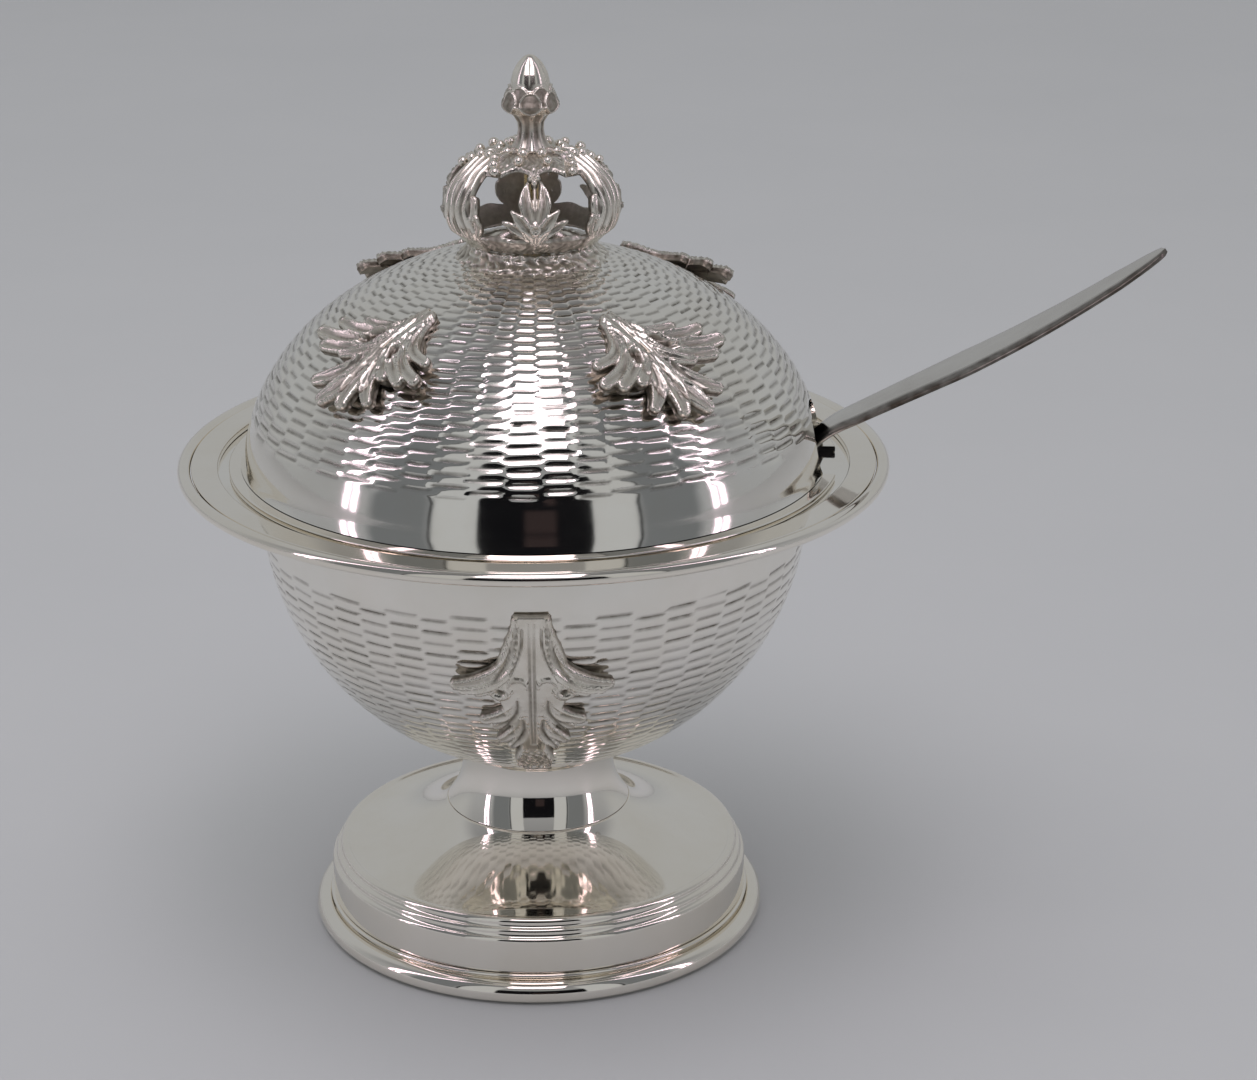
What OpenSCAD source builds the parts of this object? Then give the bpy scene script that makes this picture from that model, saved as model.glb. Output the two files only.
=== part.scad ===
// Covered sugar bowl on a trumpet foot, with a crown finial and its own spoon.
// +Z is up, the origin is the centre of the foot on the table, and +X runs
// along the spoon handle, through the notch in the lid.

/* [Foot] */
// Diameter over the rolled edge that stands on the table
foot_d = 79; // [72:0.5:90]
// Diameter of the upright band above the rolled edge
band_d = 73; // [66:0.5:74]
// Diameter of the foot's shoulder, where its top begins
foot_top_d = 68; // [60:0.5:68.5]
// Height of the shoulder above the table
foot_rise = 13.5; // [11:0.5:18]
// Height that the foot's top sweeps up from the shoulder to the stem
foot_swell = 7.3; // [5:0.1:8]
// Height of the rolled base ring
base_ring_h = 4.6; // [3.5:0.1:5.5]
// Radius of the two beads on the shoulder of the foot
shoulder_bead_r = 0.8; // [0.5:0.05:1.1]

/* [Stem] */
// Diameter of the stem at its waist
stem_waist_d = 26.3; // [22:0.1:28]
// Diameter of the stem where it stands on the foot
stem_spread_d = 32; // [29:0.5:36]
// Height of the waist above the foot of the stem
stem_waist_h = 8; // [5:0.5:8.5]

/* [Bowl] */
// Outside diameter of the bowl at its widest line
bowl_d = 93; // [84:0.5:98]
// Height from the bottom of the bowl to its widest line
bowl_depth = 48; // [40:0.5:56]
// Height from the foot's shoulder to the bottom of the bowl
bowl_stand = 16.5; // [14:0.5:20]
// Height from the widest line to the face that the lid sits on
mouth_rise = 5; // [4:0.25:8]
// Thickness of the sheet of the foot, the bowl and the lid
sheet = 1; // [0.7:0.1:1.4]
// Angle of the bowl's leaves round from the front
bowl_leaf_turn = 5; // [0:1:20]
// Length of a bowl leaf, measured straight down its middle
bowl_leaf_len = 38; // [30:1:40]
// Width of a bowl leaf across its side lobes
bowl_leaf_w = 26.4; // [20:0.4:30]
// Depth of a bowl leaf's middle below the widest line
bowl_leaf_low = 22; // [18:1:24]

/* [Rim] */
// How far the rim wire's edge stands out beyond the widest line of the bowl
rim_reach = 13.5; // [12:0.5:17]
// Radius of the rim wire
rim_wire_r = 1.1; // [0.8:0.05:1.4]
// Thickness of the flat rim plate
rim_plate_t = 1.2; // [0.8:0.1:1.6]

/* [Lid] */
// How far the lid's foot stands out beyond the widest line of the bowl
lid_reach = 4.9; // [4.4:0.1:5.6]
// Width of the flat ledge outside the foot of the dome
lid_ledge_w = 2; // [1.5:0.1:2.6]
// How far the foot of the dome flares out beyond its own curve
lid_flare_w = 0.4; // [0.2:0.1:0.8]
// Height of the dome's curve above the widest line of the bowl
dome_rise = 42; // [34:0.5:46]
// Height over which the polished foot of the dome flares out
lid_flare_h = 6; // [4:0.5:8]
// Depth that the locating ring reaches into the bowl
bezel_depth = 5.5; // [3:0.5:8]
// Length of a lid leaf along its middle
lid_leaf_len = 22; // [16:0.5:26]
// Width of a lid leaf across its side lobes
lid_leaf_w = 23; // [16:0.5:26]
// Angle between the front two leaves and the front, and so on all round
lid_leaf_spread = 38; // [30:1:50]
// How far a lid leaf's middle stands in from the dome's widest line
lid_leaf_in = 13.5; // [11:0.5:16]
// Angle at which the leaves lean away from the front and the back
lid_leaf_twist = 14; // [0:1:20]
// Thickness of the cast leaves
leaf_t = 2; // [0.8:0.1:2.4]

/* [Crown] */
// Diameter of the crown at its widest
crown_d = 29; // [24:0.5:32]
// Diameter of the crown where it stands on its collar
crown_foot_d = 20.8; // [18:0.2:22]
// Diameter of the collar on the lid
collar_d = 24.4; // [23:0.2:28]
// Height of the collar above the top of the dome
collar_h = 1.2; // [0.8:0.1:3]
// Height of the crown's widest line above its foot
crown_waist_h = 7; // [5:0.5:9]
// Height of the crown's shoulders above its widest line
crown_shoulder_h = 9.3; // [8:0.1:12]
// Thickness of the crown casting
crown_t = 1.3; // [1:0.1:1.8]
// Width of one of the crown's three ribbed straps
strap_w = 7.2; // [6:0.2:9]
// Angle of the crown's palmettes round from the front
crown_turn = 8; // [0:1:20]
// Height of the windows' sills above the crown's foot
crown_sill_h = 3; // [2.2:0.1:4]
// Greatest diameter of the bud
bud_d = 8.8; // [7:0.2:10]
// Height of the bud from its scales to its tip
bud_h = 9.6; // [8:0.2:12]
// Diameter of the neck under the bud
neck_d = 4; // [3.6:0.1:5]
// Length of the neck under the bud
neck_h = 5.9; // [4:0.1:7]
// Diameter of the stud that holds the finial
stud_d = 2.4; // [2:0.1:2.6]

/* [Spoon] */
// Length of the handle outside the lid
handle_len = 60; // [50:1:66]
// Greatest width of the handle
handle_w = 13.6; // [10:0.2:15]
// Width of the handle where it passes through the lid
handle_notch_w = 9.4; // [7:0.2:10.5]
// Thickness of the handle
handle_t = 1.2; // [0.9:0.1:1.5]
// Thickness of the neck of the spoon
neck_t = 1.8; // [1.4:0.1:2]
// Height of the handle above the lid's seat, where it leaves the lid
handle_rise = 8.25; // [7.75:0.25:8.5]
// How much shorter the neck is than the bowl is deep
neck_short = 3; // [2:0.5:5]
// Length of the spoon's bowl
scoop_len = 40; // [34:1:42]
// Width of the spoon's bowl
scoop_w = 26; // [20:1:28]
// Depth of the spoon's bowl
scoop_depth = 4.5; // [3:0.25:5]
// Clear width of the notch that the handle passes through
notch_w = 14.8; // [13:0.2:17]
// Height of the notch above the face that the lid sits on
notch_h = 11.4; // [10:0.2:14]

/* [Clearances] */
// Film of solder between joined pieces
solder = 0.1; // [0.05:0.01:0.15]
// Gap under the lid where it rests
seat_gap = 0.05; // [0.02:0.01:0.1]
// Gap all round the lid's foot, inside the rim plate
rim_gap = 1.8; // [1:0.1:2.6]
// Gap all round the locating ring inside the mouth
bezel_gap = 0.35; // [0.2:0.05:0.6]
// Gap between the stud and the holes it passes through
stud_gap = 0.1; // [0.05:0.01:0.2]

/* [Hidden] */

silver = [0.80, 0.80, 0.78];
bright = [0.88, 0.88, 0.87];
aged = [0.60, 0.59, 0.56];

round_fn = 96;          // facets asked for on every turned piece
steps = 28;             // points along a turned curve

// Levels above the table
bowl_bottom = foot_rise + bowl_stand;
wide_z = bowl_bottom + bowl_depth;      // widest line of the bowl
seat_z = wide_z + mouth_rise;           // face that the lid sits on
lid_z = seat_z + seat_gap;              // underside of the lid's ring
dome_z = lid_z + sheet + solder;        // bottom edge of the dome
dome_top = wide_z + dome_rise;          // crest of the dome
crown_z = dome_top + collar_h + solder; // foot of the crown
crown_wide_z = crown_z + crown_waist_h;
crown_top = crown_wide_z + crown_shoulder_h;

// Radii
foot_r = foot_d / 2;
band_r = band_d / 2;
foot_top_r = foot_top_d / 2;
waist_r = stem_waist_d / 2;
stem_foot_r = stem_spread_d / 2;
bowl_r = bowl_d / 2;
mouth_r = bowl_r - sheet;
rim_r = bowl_r + rim_reach;
wire_mid_r = rim_r - rim_wire_r;
lip_r = rim_r - 2 * rim_wire_r - solder;
lid_r = bowl_r + lid_reach;
dome_r = lid_r - lid_ledge_w - lid_flare_w;
lid_leaf_r = dome_r - lid_leaf_in;
bezel_r = mouth_r - bezel_gap;
crown_r = crown_d / 2;
stud_r = stud_d / 2;
hole_r = stud_r + stud_gap;

// Radius of an ellipse of half-width a and half-height b, at height h from its centre
function oval_r(a, b, h) = a * sqrt(max(0, 1 - pow(h / b, 2)));
// Points along an ellipse in the (r, z) plane, between two angles
function oval(a, b, z0, from, to, n = steps) =
    [for (i = [0:n]) let (t = from + (to - from) * i / n) [a * cos(t), z0 + b * sin(t)]];

// The bowl's outer curve, moved out by an offset, from the stem up to the widest line
function bowl_curve(off, from = -90, to = 0) = oval(bowl_r + off, bowl_depth + off, wide_z, from, to);
// Height of the bowl's outer surface at a radius
function bowl_z(r) = wide_z - bowl_depth * sqrt(1 - pow(r / bowl_r, 2));

// The dome's outer curve: an ellipse whose foot flares out on to the ledge
dome_mid_z = wide_z + 4;                // the dome is half an ellipse from here up
dome_b = dome_top - dome_mid_z;
flare_z = dome_z + lid_flare_h;
function dome_r_at(z, off = 0) =
    oval_r(dome_r + off, dome_b + off, z - dome_mid_z)
    + (z < flare_z ? (dome_r + lid_flare_w - oval_r(dome_r, dome_b, dome_z - dome_mid_z))
        * pow((flare_z - z) / lid_flare_h, 6) : 0);
function dome_z_at(r, off = 0) =
    dome_mid_z + (dome_b + off) * sqrt(max(0, 1 - pow(r / (dome_r + off), 2)));
dome_turn = asin((flare_z - dome_mid_z) / dome_b);
// The same curve from the edge to the crest, moved out by an offset
function dome_curve(off) = concat(
    [for (i = [0:8]) let (z = dome_z + (flare_z - dome_z) * i / 9) [dome_r_at(z, off), z]],
    oval(dome_r + off, dome_b + off, dome_mid_z, dome_turn, 90));

// Turns a closed outline of (r, z) points round the centre line
module turned(points) rotate_extrude($fn = round_fn) polygon(points);
// A ring of round wire lying flat
module ring_wire(r, z, wire_r) translate([0, 0, z])
    rotate_extrude($fn = round_fn) translate([r, 0]) circle(wire_r, $fn = 32);
// The cut for the spoon's handle, on the +X side of the lid
module spoon_notch() {
    arch_r = notch_w / 2;
    arch_z = seat_z + notch_h - arch_r;
    translate([0, 0, arch_z]) rotate([0, 90, 0]) cylinder(h = rim_r, r = arch_r, $fn = round_fn);
    translate([0, -arch_r, seat_z - bezel_depth - 1]) cube([rim_r, notch_w, arch_z - seat_z + bezel_depth + 1]);
}

// ---- Foot ----

roll_r = base_ring_h * 0.41;            // radius of the rolled edge
base_inner_r = band_r - 3;
module foot_base_ring() color(bright) {
    // A flat ring under the band, a cove, and the rolled edge outside it
    cove_r = foot_r - 2 * roll_r;
    turned([
        [base_inner_r, 0], [foot_r - roll_r, 0], [foot_r - roll_r, roll_r],
        [cove_r, roll_r * 1.5], [band_r + 0.4, base_ring_h - 0.5], [band_r + 0.4, base_ring_h],
        [base_inner_r, base_ring_h]
    ]);
    ring_wire(foot_r - roll_r, roll_r, roll_r);
}

foot_flange_w = 3;      // width of the flat ring inside the foot that the stem stands on
// Height of the foot's top at a radius: nearly level at the shoulder, steepening to the stem
function foot_z_at(r) = let (inward = (foot_top_r - r) / (foot_top_r - stem_foot_r))
    foot_rise + foot_swell * (0.82 * pow(inward, 1.75) + 0.18 * pow(inward, 8));
module foot_plate() color(bright) {
    band_z = base_ring_h + solder;
    step = (band_r - foot_top_r) / 2;
    drop = foot_rise - band_z;
    top_z = foot_rise + foot_swell;
    wall = 1.4 * sheet;                 // upright thickness of the sloping top
    radii = [for (i = [0:steps]) stem_foot_r + (foot_top_r - stem_foot_r) * i / steps];
    turned(concat(
        [for (r = radii) [r, foot_z_at(r)]],
        [[foot_top_r + step * 0.6, foot_rise - drop * 0.12],
            [foot_top_r + step * 0.8, foot_rise - drop * 0.2], [band_r - 0.5, foot_rise - drop * 0.28],
            [band_r, foot_rise - drop * 0.34], [band_r, band_z],
            [band_r - sheet, band_z], [band_r - sheet, foot_rise - drop * 0.4 - sheet / 2],
            [foot_top_r - sheet / 2, foot_rise - sheet - drop * 0.1]],
        [for (i = [steps - 2:-1:0]) [radii[i], foot_z_at(radii[i]) - wall]],
        [[stem_foot_r - foot_flange_w, top_z - wall], [stem_foot_r - foot_flange_w, top_z]]));
    ring_wire(foot_top_r, foot_rise - shoulder_bead_r / 2, shoulder_bead_r);
    ring_wire(foot_top_r + step, foot_rise - drop * 0.17, shoulder_bead_r * 0.9);
}

// ---- Stem ----

stem_z = foot_rise + foot_swell + solder;
waist_z = stem_z + stem_waist_h;
stem_top_r = waist_r + 0.3;
stem_opening = 0.03;    // how fast the stem opens above its waist, in mm over mm squared
// Outer radius of the stem at a height: a waist that spreads down to the foot and up to the bowl
function stem_r_at(z) = z < waist_z
    ? waist_r + (stem_foot_r - waist_r) * pow((waist_z - z) / stem_waist_h, 2.2)
    : waist_r + stem_opening * pow(z - waist_z, 2);
module stem() color(bright) {
    top_z = bowl_z(stem_top_r) - solder;
    levels = [for (i = [0:steps]) stem_z + (top_z - stem_z) * i / steps];
    difference() {
        turned(concat(
            [for (z = levels) [stem_r_at(z), z]],
            [for (i = [steps:-1:0]) [stem_r_at(levels[i]) - sheet - 0.4, levels[i]]]));
        // Its top edge follows the round of the bowl
        turned(concat(bowl_curve(solder, -90, -60), [[0, wide_z]]));
    }
}

// ---- Bowl and rim ----

lip_round = 2.2;        // radius of the bend under the lip
module bowl() color(silver) {
    bend_z = seat_z - sheet - lip_round;
    turned(concat(
        bowl_curve(0),
        [for (i = [0:6]) let (t = 180 - 90 * i / 6)
            [bowl_r + lip_round + lip_round * cos(t), bend_z + lip_round * sin(t)]],
        [[lip_r, seat_z - sheet], [lip_r, seat_z], [mouth_r, seat_z]],
        bowl_curve(-sheet, 0, -90)));
}

module rim_plate() color(bright) {
    plate_z = seat_z + solder;
    inner_r = lid_r + rim_gap;
    turned([
        [inner_r, plate_z], [lip_r, plate_z], [lip_r, plate_z + rim_plate_t],
        [inner_r + 0.4, plate_z + rim_plate_t], [inner_r, plate_z + rim_plate_t - 0.4]
    ]);
}

module rim_wire() color(bright) ring_wire(wire_mid_r, seat_z + rim_plate_t / 2, rim_wire_r);

// ---- Leaves ----

// Half of an acanthus outline for a length and a width: distance down the leaf and half-width
function lid_leaf_half(l, w) = [
    [0, 0.11 * w], [0.12 * l, 0.14 * w], [0.26 * l, 0.28 * w], [0.36 * l, 0.44 * w],
    [0.42 * l, 0.50 * w], [0.56 * l, 0.49 * w], [0.60 * l, 0.38 * w], [0.54 * l, 0.22 * w],
    [0.62 * l, 0.20 * w], [0.78 * l, 0.30 * w], [0.92 * l, 0.33 * w], [0.97 * l, 0.24 * w],
    [0.93 * l, 0.14 * w], [l, 0.08 * w]
];
function bowl_leaf_half(l, w) = [
    [0, 0.11 * w], [0.10 * l, 0.14 * w], [0.20 * l, 0.22 * w], [0.27 * l, 0.36 * w],
    [0.31 * l, 0.48 * w], [0.36 * l, 0.50 * w], [0.42 * l, 0.42 * w], [0.45 * l, 0.28 * w],
    [0.50 * l, 0.29 * w], [0.56 * l, 0.31 * w], [0.60 * l, 0.22 * w], [0.64 * l, 0.18 * w],
    [0.70 * l, 0.20 * w], [0.74 * l, 0.12 * w], [0.90 * l, 0.11 * w], [0.97 * l, 0.08 * w], [l, 0]
];
// The whole outline, mirrored across the leaf's middle, with its own middle at the origin
module leaf_plan(half, l) translate([-l / 2, 0])
    polygon(concat(half, [for (i = [len(half) - 1:-1:0]) [half[i][0], -half[i][1]]]));

// Bends the plan onto a curved sheet: what the sheet keeps inside the leaf's outline
module lid_leaf(azimuth, twist) color(aged) {
    lean = atan(pow(dome_b / dome_r, 2) * lid_leaf_r / (dome_z_at(lid_leaf_r) - dome_mid_z));
    intersection() {
        difference() {
            turned(concat(oval(dome_r + solder + leaf_t, dome_b + solder + leaf_t, dome_mid_z, 15, 75),
                [[0, dome_mid_z + dome_b * 0.7], [0, dome_mid_z]]));
            turned(concat(oval(dome_r + solder, dome_b + solder, dome_mid_z, 0, 90), [[0, dome_mid_z]]));
        }
        rotate([0, 0, azimuth]) translate([lid_leaf_r, 0, dome_z_at(lid_leaf_r)]) rotate([0, lean, 0])
            rotate([0, 0, twist]) translate([0, 0, -lid_leaf_len / 2])
            linear_extrude(lid_leaf_len) leaf_plan(lid_leaf_half(lid_leaf_len, lid_leaf_w), lid_leaf_len);
    }
}
module lid_leaf_front_left() lid_leaf(-90 - lid_leaf_spread, -lid_leaf_twist);
module lid_leaf_front_right() lid_leaf(-90 + lid_leaf_spread, lid_leaf_twist);
module lid_leaf_back_right() lid_leaf(90 - lid_leaf_spread, -lid_leaf_twist);
module lid_leaf_back_left() lid_leaf(90 + lid_leaf_spread, lid_leaf_twist);

module bowl_leaf(azimuth) color(aged) {
    leaf_r = oval_r(bowl_r, bowl_depth, bowl_leaf_low);
    lean = 90 + atan(pow(bowl_r / bowl_depth, 2) * bowl_leaf_low / leaf_r);
    intersection() {
        difference() {
            turned(concat([[0, wide_z]], bowl_curve(solder + leaf_t, -78, 0)));
            turned(concat([[0, wide_z + 1]], bowl_curve(solder), [[bowl_r + solder, wide_z + 1]]));
        }
        rotate([0, 0, azimuth]) translate([leaf_r, 0, wide_z - bowl_leaf_low])
            rotate([0, lean, 0]) translate([0, 0, -bowl_leaf_len / 4]) linear_extrude(bowl_leaf_len / 2)
            leaf_plan(bowl_leaf_half(bowl_leaf_len, bowl_leaf_w), bowl_leaf_len);
    }
}
module bowl_leaf_front() bowl_leaf(-90 + bowl_leaf_turn);
module bowl_leaf_back() bowl_leaf(90 + bowl_leaf_turn);

// ---- Lid ----

module lid_dome() color(silver) difference() {
    outer = dome_curve(0);
    inner = dome_curve(-sheet);
    turned(concat(outer, [for (i = [len(inner) - 1:-1:0]) inner[i]]));
    cylinder(h = dome_top + 1, r = hole_r, $fn = 48);
    spoon_notch();
}

module lid_bezel() color(bright) difference() {
    bottom_z = seat_z - bezel_depth;
    turned([
        [bezel_r - sheet, bottom_z], [bezel_r, bottom_z], [bezel_r, lid_z],
        [lid_r, lid_z], [lid_r, lid_z + sheet], [bezel_r - sheet, lid_z + sheet]
    ]);
    spoon_notch();
}

// ---- Crown finial ----

module crown_collar() color(aged) difference() {
    top_z = crown_z - solder;
    foot_z = dome_z_at(collar_d / 2);
    inner_r = crown_foot_d / 2 - 3;
    turned([
        [inner_r, top_z], [crown_foot_d / 2, top_z], [crown_foot_d / 2, top_z - collar_h * 0.6],
        [collar_d / 2 - 0.5, foot_z + 0.8], [collar_d / 2, foot_z - 0.6], [inner_r, foot_z - 0.6]
    ]);
    turned(concat(oval(dome_r + solder, dome_b + solder, dome_mid_z, 60, 90), [[0, dome_mid_z]]));
}

crown_low_b = crown_waist_h / sqrt(1 - pow(crown_foot_d / crown_d, 2));
crown_cut_z = crown_top - 1.1;          // the flat that the bud's neck stands on
// The crown's curve, moved out by an offset, between its foot and its flat
function crown_curve(off) = let (
    low = asin(crown_waist_h / (crown_low_b + off)),
    high = asin(min(1, (crown_cut_z - crown_wide_z) / (crown_shoulder_h + off))))
    concat(oval(crown_r + off, crown_low_b + off, crown_wide_z, -low, 0, 12),
        [for (p = oval(crown_r + off, crown_shoulder_h + off, crown_wide_z, 0, high, 16))
            if (p[1] > crown_wide_z) p]);

// One of the three windows, in the plane that faces it: a round arch without its palmette
module crown_window() {
    half_w = crown_r * sin(60 - strap_w * 90 / (PI * crown_r));
    high_z = crown_waist_h + crown_shoulder_h - 2 * crown_t;
    difference() {
        polygon(concat(
            [[-half_w * 0.7, crown_sill_h + 0.6], [0, crown_sill_h], [half_w * 0.7, crown_sill_h + 0.6]],
            [for (i = [0:10]) let (t = 180 * i / 10)
                [half_w * cos(t), high_z - half_w * 0.8 + half_w * 0.8 * sin(t)]]));
        crown_palmette(high_z + 0.3);
    }
}
// A fan of four petals round a bead, with two upright leaves that reach the arch above it
module crown_palmette(top) {
    bead_y = crown_sill_h + 2.4;
    for (side = [-1, 1]) {
        translate([0, crown_sill_h]) {
            rotate(side * 58) scale_petal(6, 1.1);
            rotate(side * 36) scale_petal(6.2, 1.2);
        }
        translate([side * 1.1, bead_y]) scale_petal(top - bead_y, 1.4);
    }
    translate([0, bead_y]) circle(1.1, $fn = 24);
    translate([-1, 0]) square([2, bead_y]);
}
// A pointed petal standing on the origin
module scale_petal(l, half_w) polygon([
    [0, 0], [half_w * 0.8, l * 0.25], [half_w, l * 0.5], [half_w * 0.7, l * 0.8], [0, l],
    [-half_w * 0.7, l * 0.8], [-half_w, l * 0.5], [-half_w * 0.8, l * 0.25]
]);

module crown() color(aged) difference() {
    floor_z = crown_z + crown_t;
    roof_z = crown_cut_z - crown_t;
    turned(concat([[0, crown_z]], crown_curve(0), [[0, crown_cut_z]]));
    turned(concat([[0, floor_z]],
        [for (p = crown_curve(-crown_t)) if (p[1] > floor_z && p[1] < roof_z) p],
        [[0, roof_z]]));
    for (third = [0:2])
        rotate([0, 0, crown_turn + 120 * third]) translate([0, 0, crown_z]) rotate([90, 0, 0])
            linear_extrude(crown_r + 1) crown_window();
    translate([0, 0, crown_z - 1]) cylinder(h = crown_top - crown_z + 2, r = hole_r, $fn = 48);
}

bud_z = crown_cut_z + solder;
scale_z = bud_z + neck_h;               // bottom of the bud's scales
bud_widest = 0.17;                      // share of the bud's height below its widest point
module bud_finial() color(aged) difference() {
    neck_r = neck_d / 2;
    bud_r = bud_d / 2;
    turned(concat(
        [[0, bud_z], [bud_r * 0.8, bud_z], [neck_r * 1.25, bud_z + neck_h * 0.22], [neck_r, bud_z + neck_h * 0.5],
            [neck_r * 1.1, bud_z + neck_h * 0.8], [bud_r * 0.72, scale_z]],
        [for (i = [1:4]) let (t = i / 4)
            [bud_r * (0.72 + 0.28 * sin(90 * t)), scale_z + bud_h * bud_widest * t]],
        [for (i = [1:10]) let (t = i / 10)
            [bud_r * pow(1 - t, 0.55), scale_z + bud_h * (bud_widest + (1 - bud_widest) * t)]]));
    translate([0, 0, bud_z - 1]) cylinder(h = stud_into_bud + 1 + stud_gap, r = hole_r, $fn = 48);
}

stud_into_bud = neck_h;
washer_t = 1;
nut_t = 2.4;
washer_r = stud_d * 1.6;
washer_top = dome_z_at(washer_r, -sheet) - solder;
nut_top = washer_top - washer_t - solder;
stud_bottom = nut_top - nut_t - 1.2;
module finial_stud() color("goldenrod")
    translate([0, 0, stud_bottom]) cylinder(h = bud_z + stud_into_bud - stud_bottom, r = stud_r, $fn = 48);
module finial_washer() color("goldenrod") translate([0, 0, washer_top - washer_t]) difference() {
    cylinder(h = washer_t, r = washer_r, $fn = 64);
    translate([0, 0, -1]) cylinder(h = washer_t + 2, r = hole_r, $fn = 48);
}
module finial_nut() color("goldenrod") translate([0, 0, nut_top - nut_t]) difference() {
    cylinder(h = nut_t, r = stud_d * 1.3, $fn = 6);
    translate([0, 0, -1]) cylinder(h = nut_t + 2, r = stud_r + stud_gap / 2, $fn = 48);
}

// ---- Spoon ----

// The handle leaves the lid here, with its middle plane on this point
spoon_x = lid_r + handle_t / 2;
spoon_z = seat_z + handle_rise;
neck_len = bowl_depth - neck_short;     // straight part of the neck and its two bends
tip_s = -(neck_len + scoop_len) * 0.9835;
// Slope of the spoon's middle line, by the distance along it from that point
slope_keys = [
    [tip_s * 1.15, 26], [-neck_len * 4 / 3, 33], [-neck_len * 0.98, 58], [-neck_len / 5, 58], [0, 27],
    [handle_len / 3, 27], [handle_len * 1.03, 37]
];
spoon_step = 3.2;
out_steps = ceil(handle_len / spoon_step);
in_steps = ceil(-tip_s / spoon_step);
// The middle line's points, walked outwards (way = 1) or inwards (way = -1)
function walk(way, n, length, i = 0, p = [spoon_x, spoon_z]) = i > n ? [] : let (
    d = length / n,
    a = lookup(way * d * (i + 0.5), slope_keys))
    concat([[p[0], p[1], way * d * i]], walk(way, n, length, i + 1, p + way * d * [cos(a), sin(a)]));
inward = walk(-1, in_steps, -tip_s);
outward = walk(1, out_steps, handle_len);
spine = concat([for (i = [len(inward) - 1:-1:1]) inward[i]], outward);

scoop_s = tip_s + scoop_len;
// Half-width of the spoon at a distance along its middle line
function spoon_half_w(s) = s < scoop_s
    ? max(0.8, scoop_w / 2 * sqrt(max(0, 1 - pow((s - tip_s) * 2 / scoop_len - 1, 2)))
        + (s > tip_s + scoop_len / 2 ? 2.4 * pow((s - tip_s) / scoop_len, 6) : 0))
    : lookup(s, [[scoop_s, 2.4], [-neck_len * 0.45, 2.2], [-neck_len * 0.18, handle_notch_w / 2 - 1],
        [handle_len / 30, handle_notch_w / 2 + 0.6],
        [handle_len * 0.38, handle_w / 2], [handle_len * 0.6, handle_w / 2 - 0.8],
        [handle_len * 0.85, handle_w / 2 - 2.2], [handle_len * 0.96, 3.2], [handle_len, 1]]);
function spoon_half_t(s) = s < scoop_s ? 0.5 : lookup(s, [[scoop_s, 0.5], [scoop_s + 5, neck_t / 2],
    [-12, neck_t / 2], [2, handle_t / 2], [handle_len, handle_t / 2]]);
function spoon_dish(s) = s < scoop_s
    ? scoop_depth * pow(max(0, 1 - pow((s - tip_s) * 2 / scoop_len - 1, 2)), 0.75) : 0;
section_n = 14;
// One cross-section as points in space, square to the middle line
function spoon_section(i) = let (
    s = spine[i][2],
    a = lookup(s, slope_keys),
    w = spoon_half_w(s),
    t = spoon_half_t(s))
    [for (k = [0:section_n - 1]) let (
        u = 360 * k / section_n,
        h = t * sign(sin(u)) * pow(abs(sin(u)), 0.6) - spoon_dish(s) * pow(sin(u), 2))
        [spine[i][0] - h * sin(a), w * cos(u), spine[i][1] + h * cos(a)]];
module spoon() color(bright) {
    rings = len(spine);
    last = rings - 1;
    points = [for (i = [0:last]) for (p = spoon_section(i)) p];
    sides = [for (i = [0:last - 1]) for (k = [0:section_n - 1]) let (
        a = i * section_n + k,
        b = i * section_n + (k + 1) % section_n)
        each [[a, a + section_n, b], [b, a + section_n, b + section_n]]];
    caps = [[for (k = [0:section_n - 1]) k], [for (k = [section_n - 1:-1:0]) last * section_n + k]];
    polyhedron(points, concat(sides, caps));
}

foot_base_ring();
foot_plate();
stem();
bowl();
rim_plate();
rim_wire();
bowl_leaf_front();
bowl_leaf_back();
lid_dome();
lid_bezel();
lid_leaf_front_left();
lid_leaf_front_right();
lid_leaf_back_right();
lid_leaf_back_left();
crown_collar();
crown();
bud_finial();
finial_stud();
finial_washer();
finial_nut();
spoon();
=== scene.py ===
# %% [markdown]
# # A covered silver sugar bowl with its spoon
# The solids of the bowl come from its CAD model and stay where they are. This
# file dresses them: turned pieces with true mirror curves, a lid and a bowl with
# rows of tooled strokes, cast leaves, an openwork crown, and a spoon.
# Lengths below are in millimetres and are turned into metres when a mesh is made.
# %% The frame and its size
import math

import bpy
import numpy as np
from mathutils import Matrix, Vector


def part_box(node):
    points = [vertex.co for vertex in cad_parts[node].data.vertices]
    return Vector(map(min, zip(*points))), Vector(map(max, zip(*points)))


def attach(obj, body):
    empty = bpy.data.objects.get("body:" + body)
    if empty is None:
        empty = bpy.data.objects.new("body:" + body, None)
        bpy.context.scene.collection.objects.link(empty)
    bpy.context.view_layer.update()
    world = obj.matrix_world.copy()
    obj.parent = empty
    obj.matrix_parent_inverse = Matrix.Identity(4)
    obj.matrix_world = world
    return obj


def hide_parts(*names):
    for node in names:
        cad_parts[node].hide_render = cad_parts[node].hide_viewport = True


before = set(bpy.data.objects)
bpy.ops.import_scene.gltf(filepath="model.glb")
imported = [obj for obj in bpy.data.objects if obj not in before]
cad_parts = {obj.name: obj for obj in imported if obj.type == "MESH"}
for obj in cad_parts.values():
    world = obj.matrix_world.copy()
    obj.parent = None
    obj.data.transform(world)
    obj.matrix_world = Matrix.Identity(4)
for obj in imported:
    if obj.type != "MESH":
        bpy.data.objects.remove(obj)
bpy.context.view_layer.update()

MM = 0.001
SHEET = 1.0         # thickness of the spun silver
SOLDER = 0.1        # the thin gap that solder fills between two pieces


def reach(node):
    """Outer radius, lowest and highest level of a turned CAD piece, in millimetres."""
    low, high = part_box(node)
    return high.y / MM, low.z / MM, high.z / MM


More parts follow.
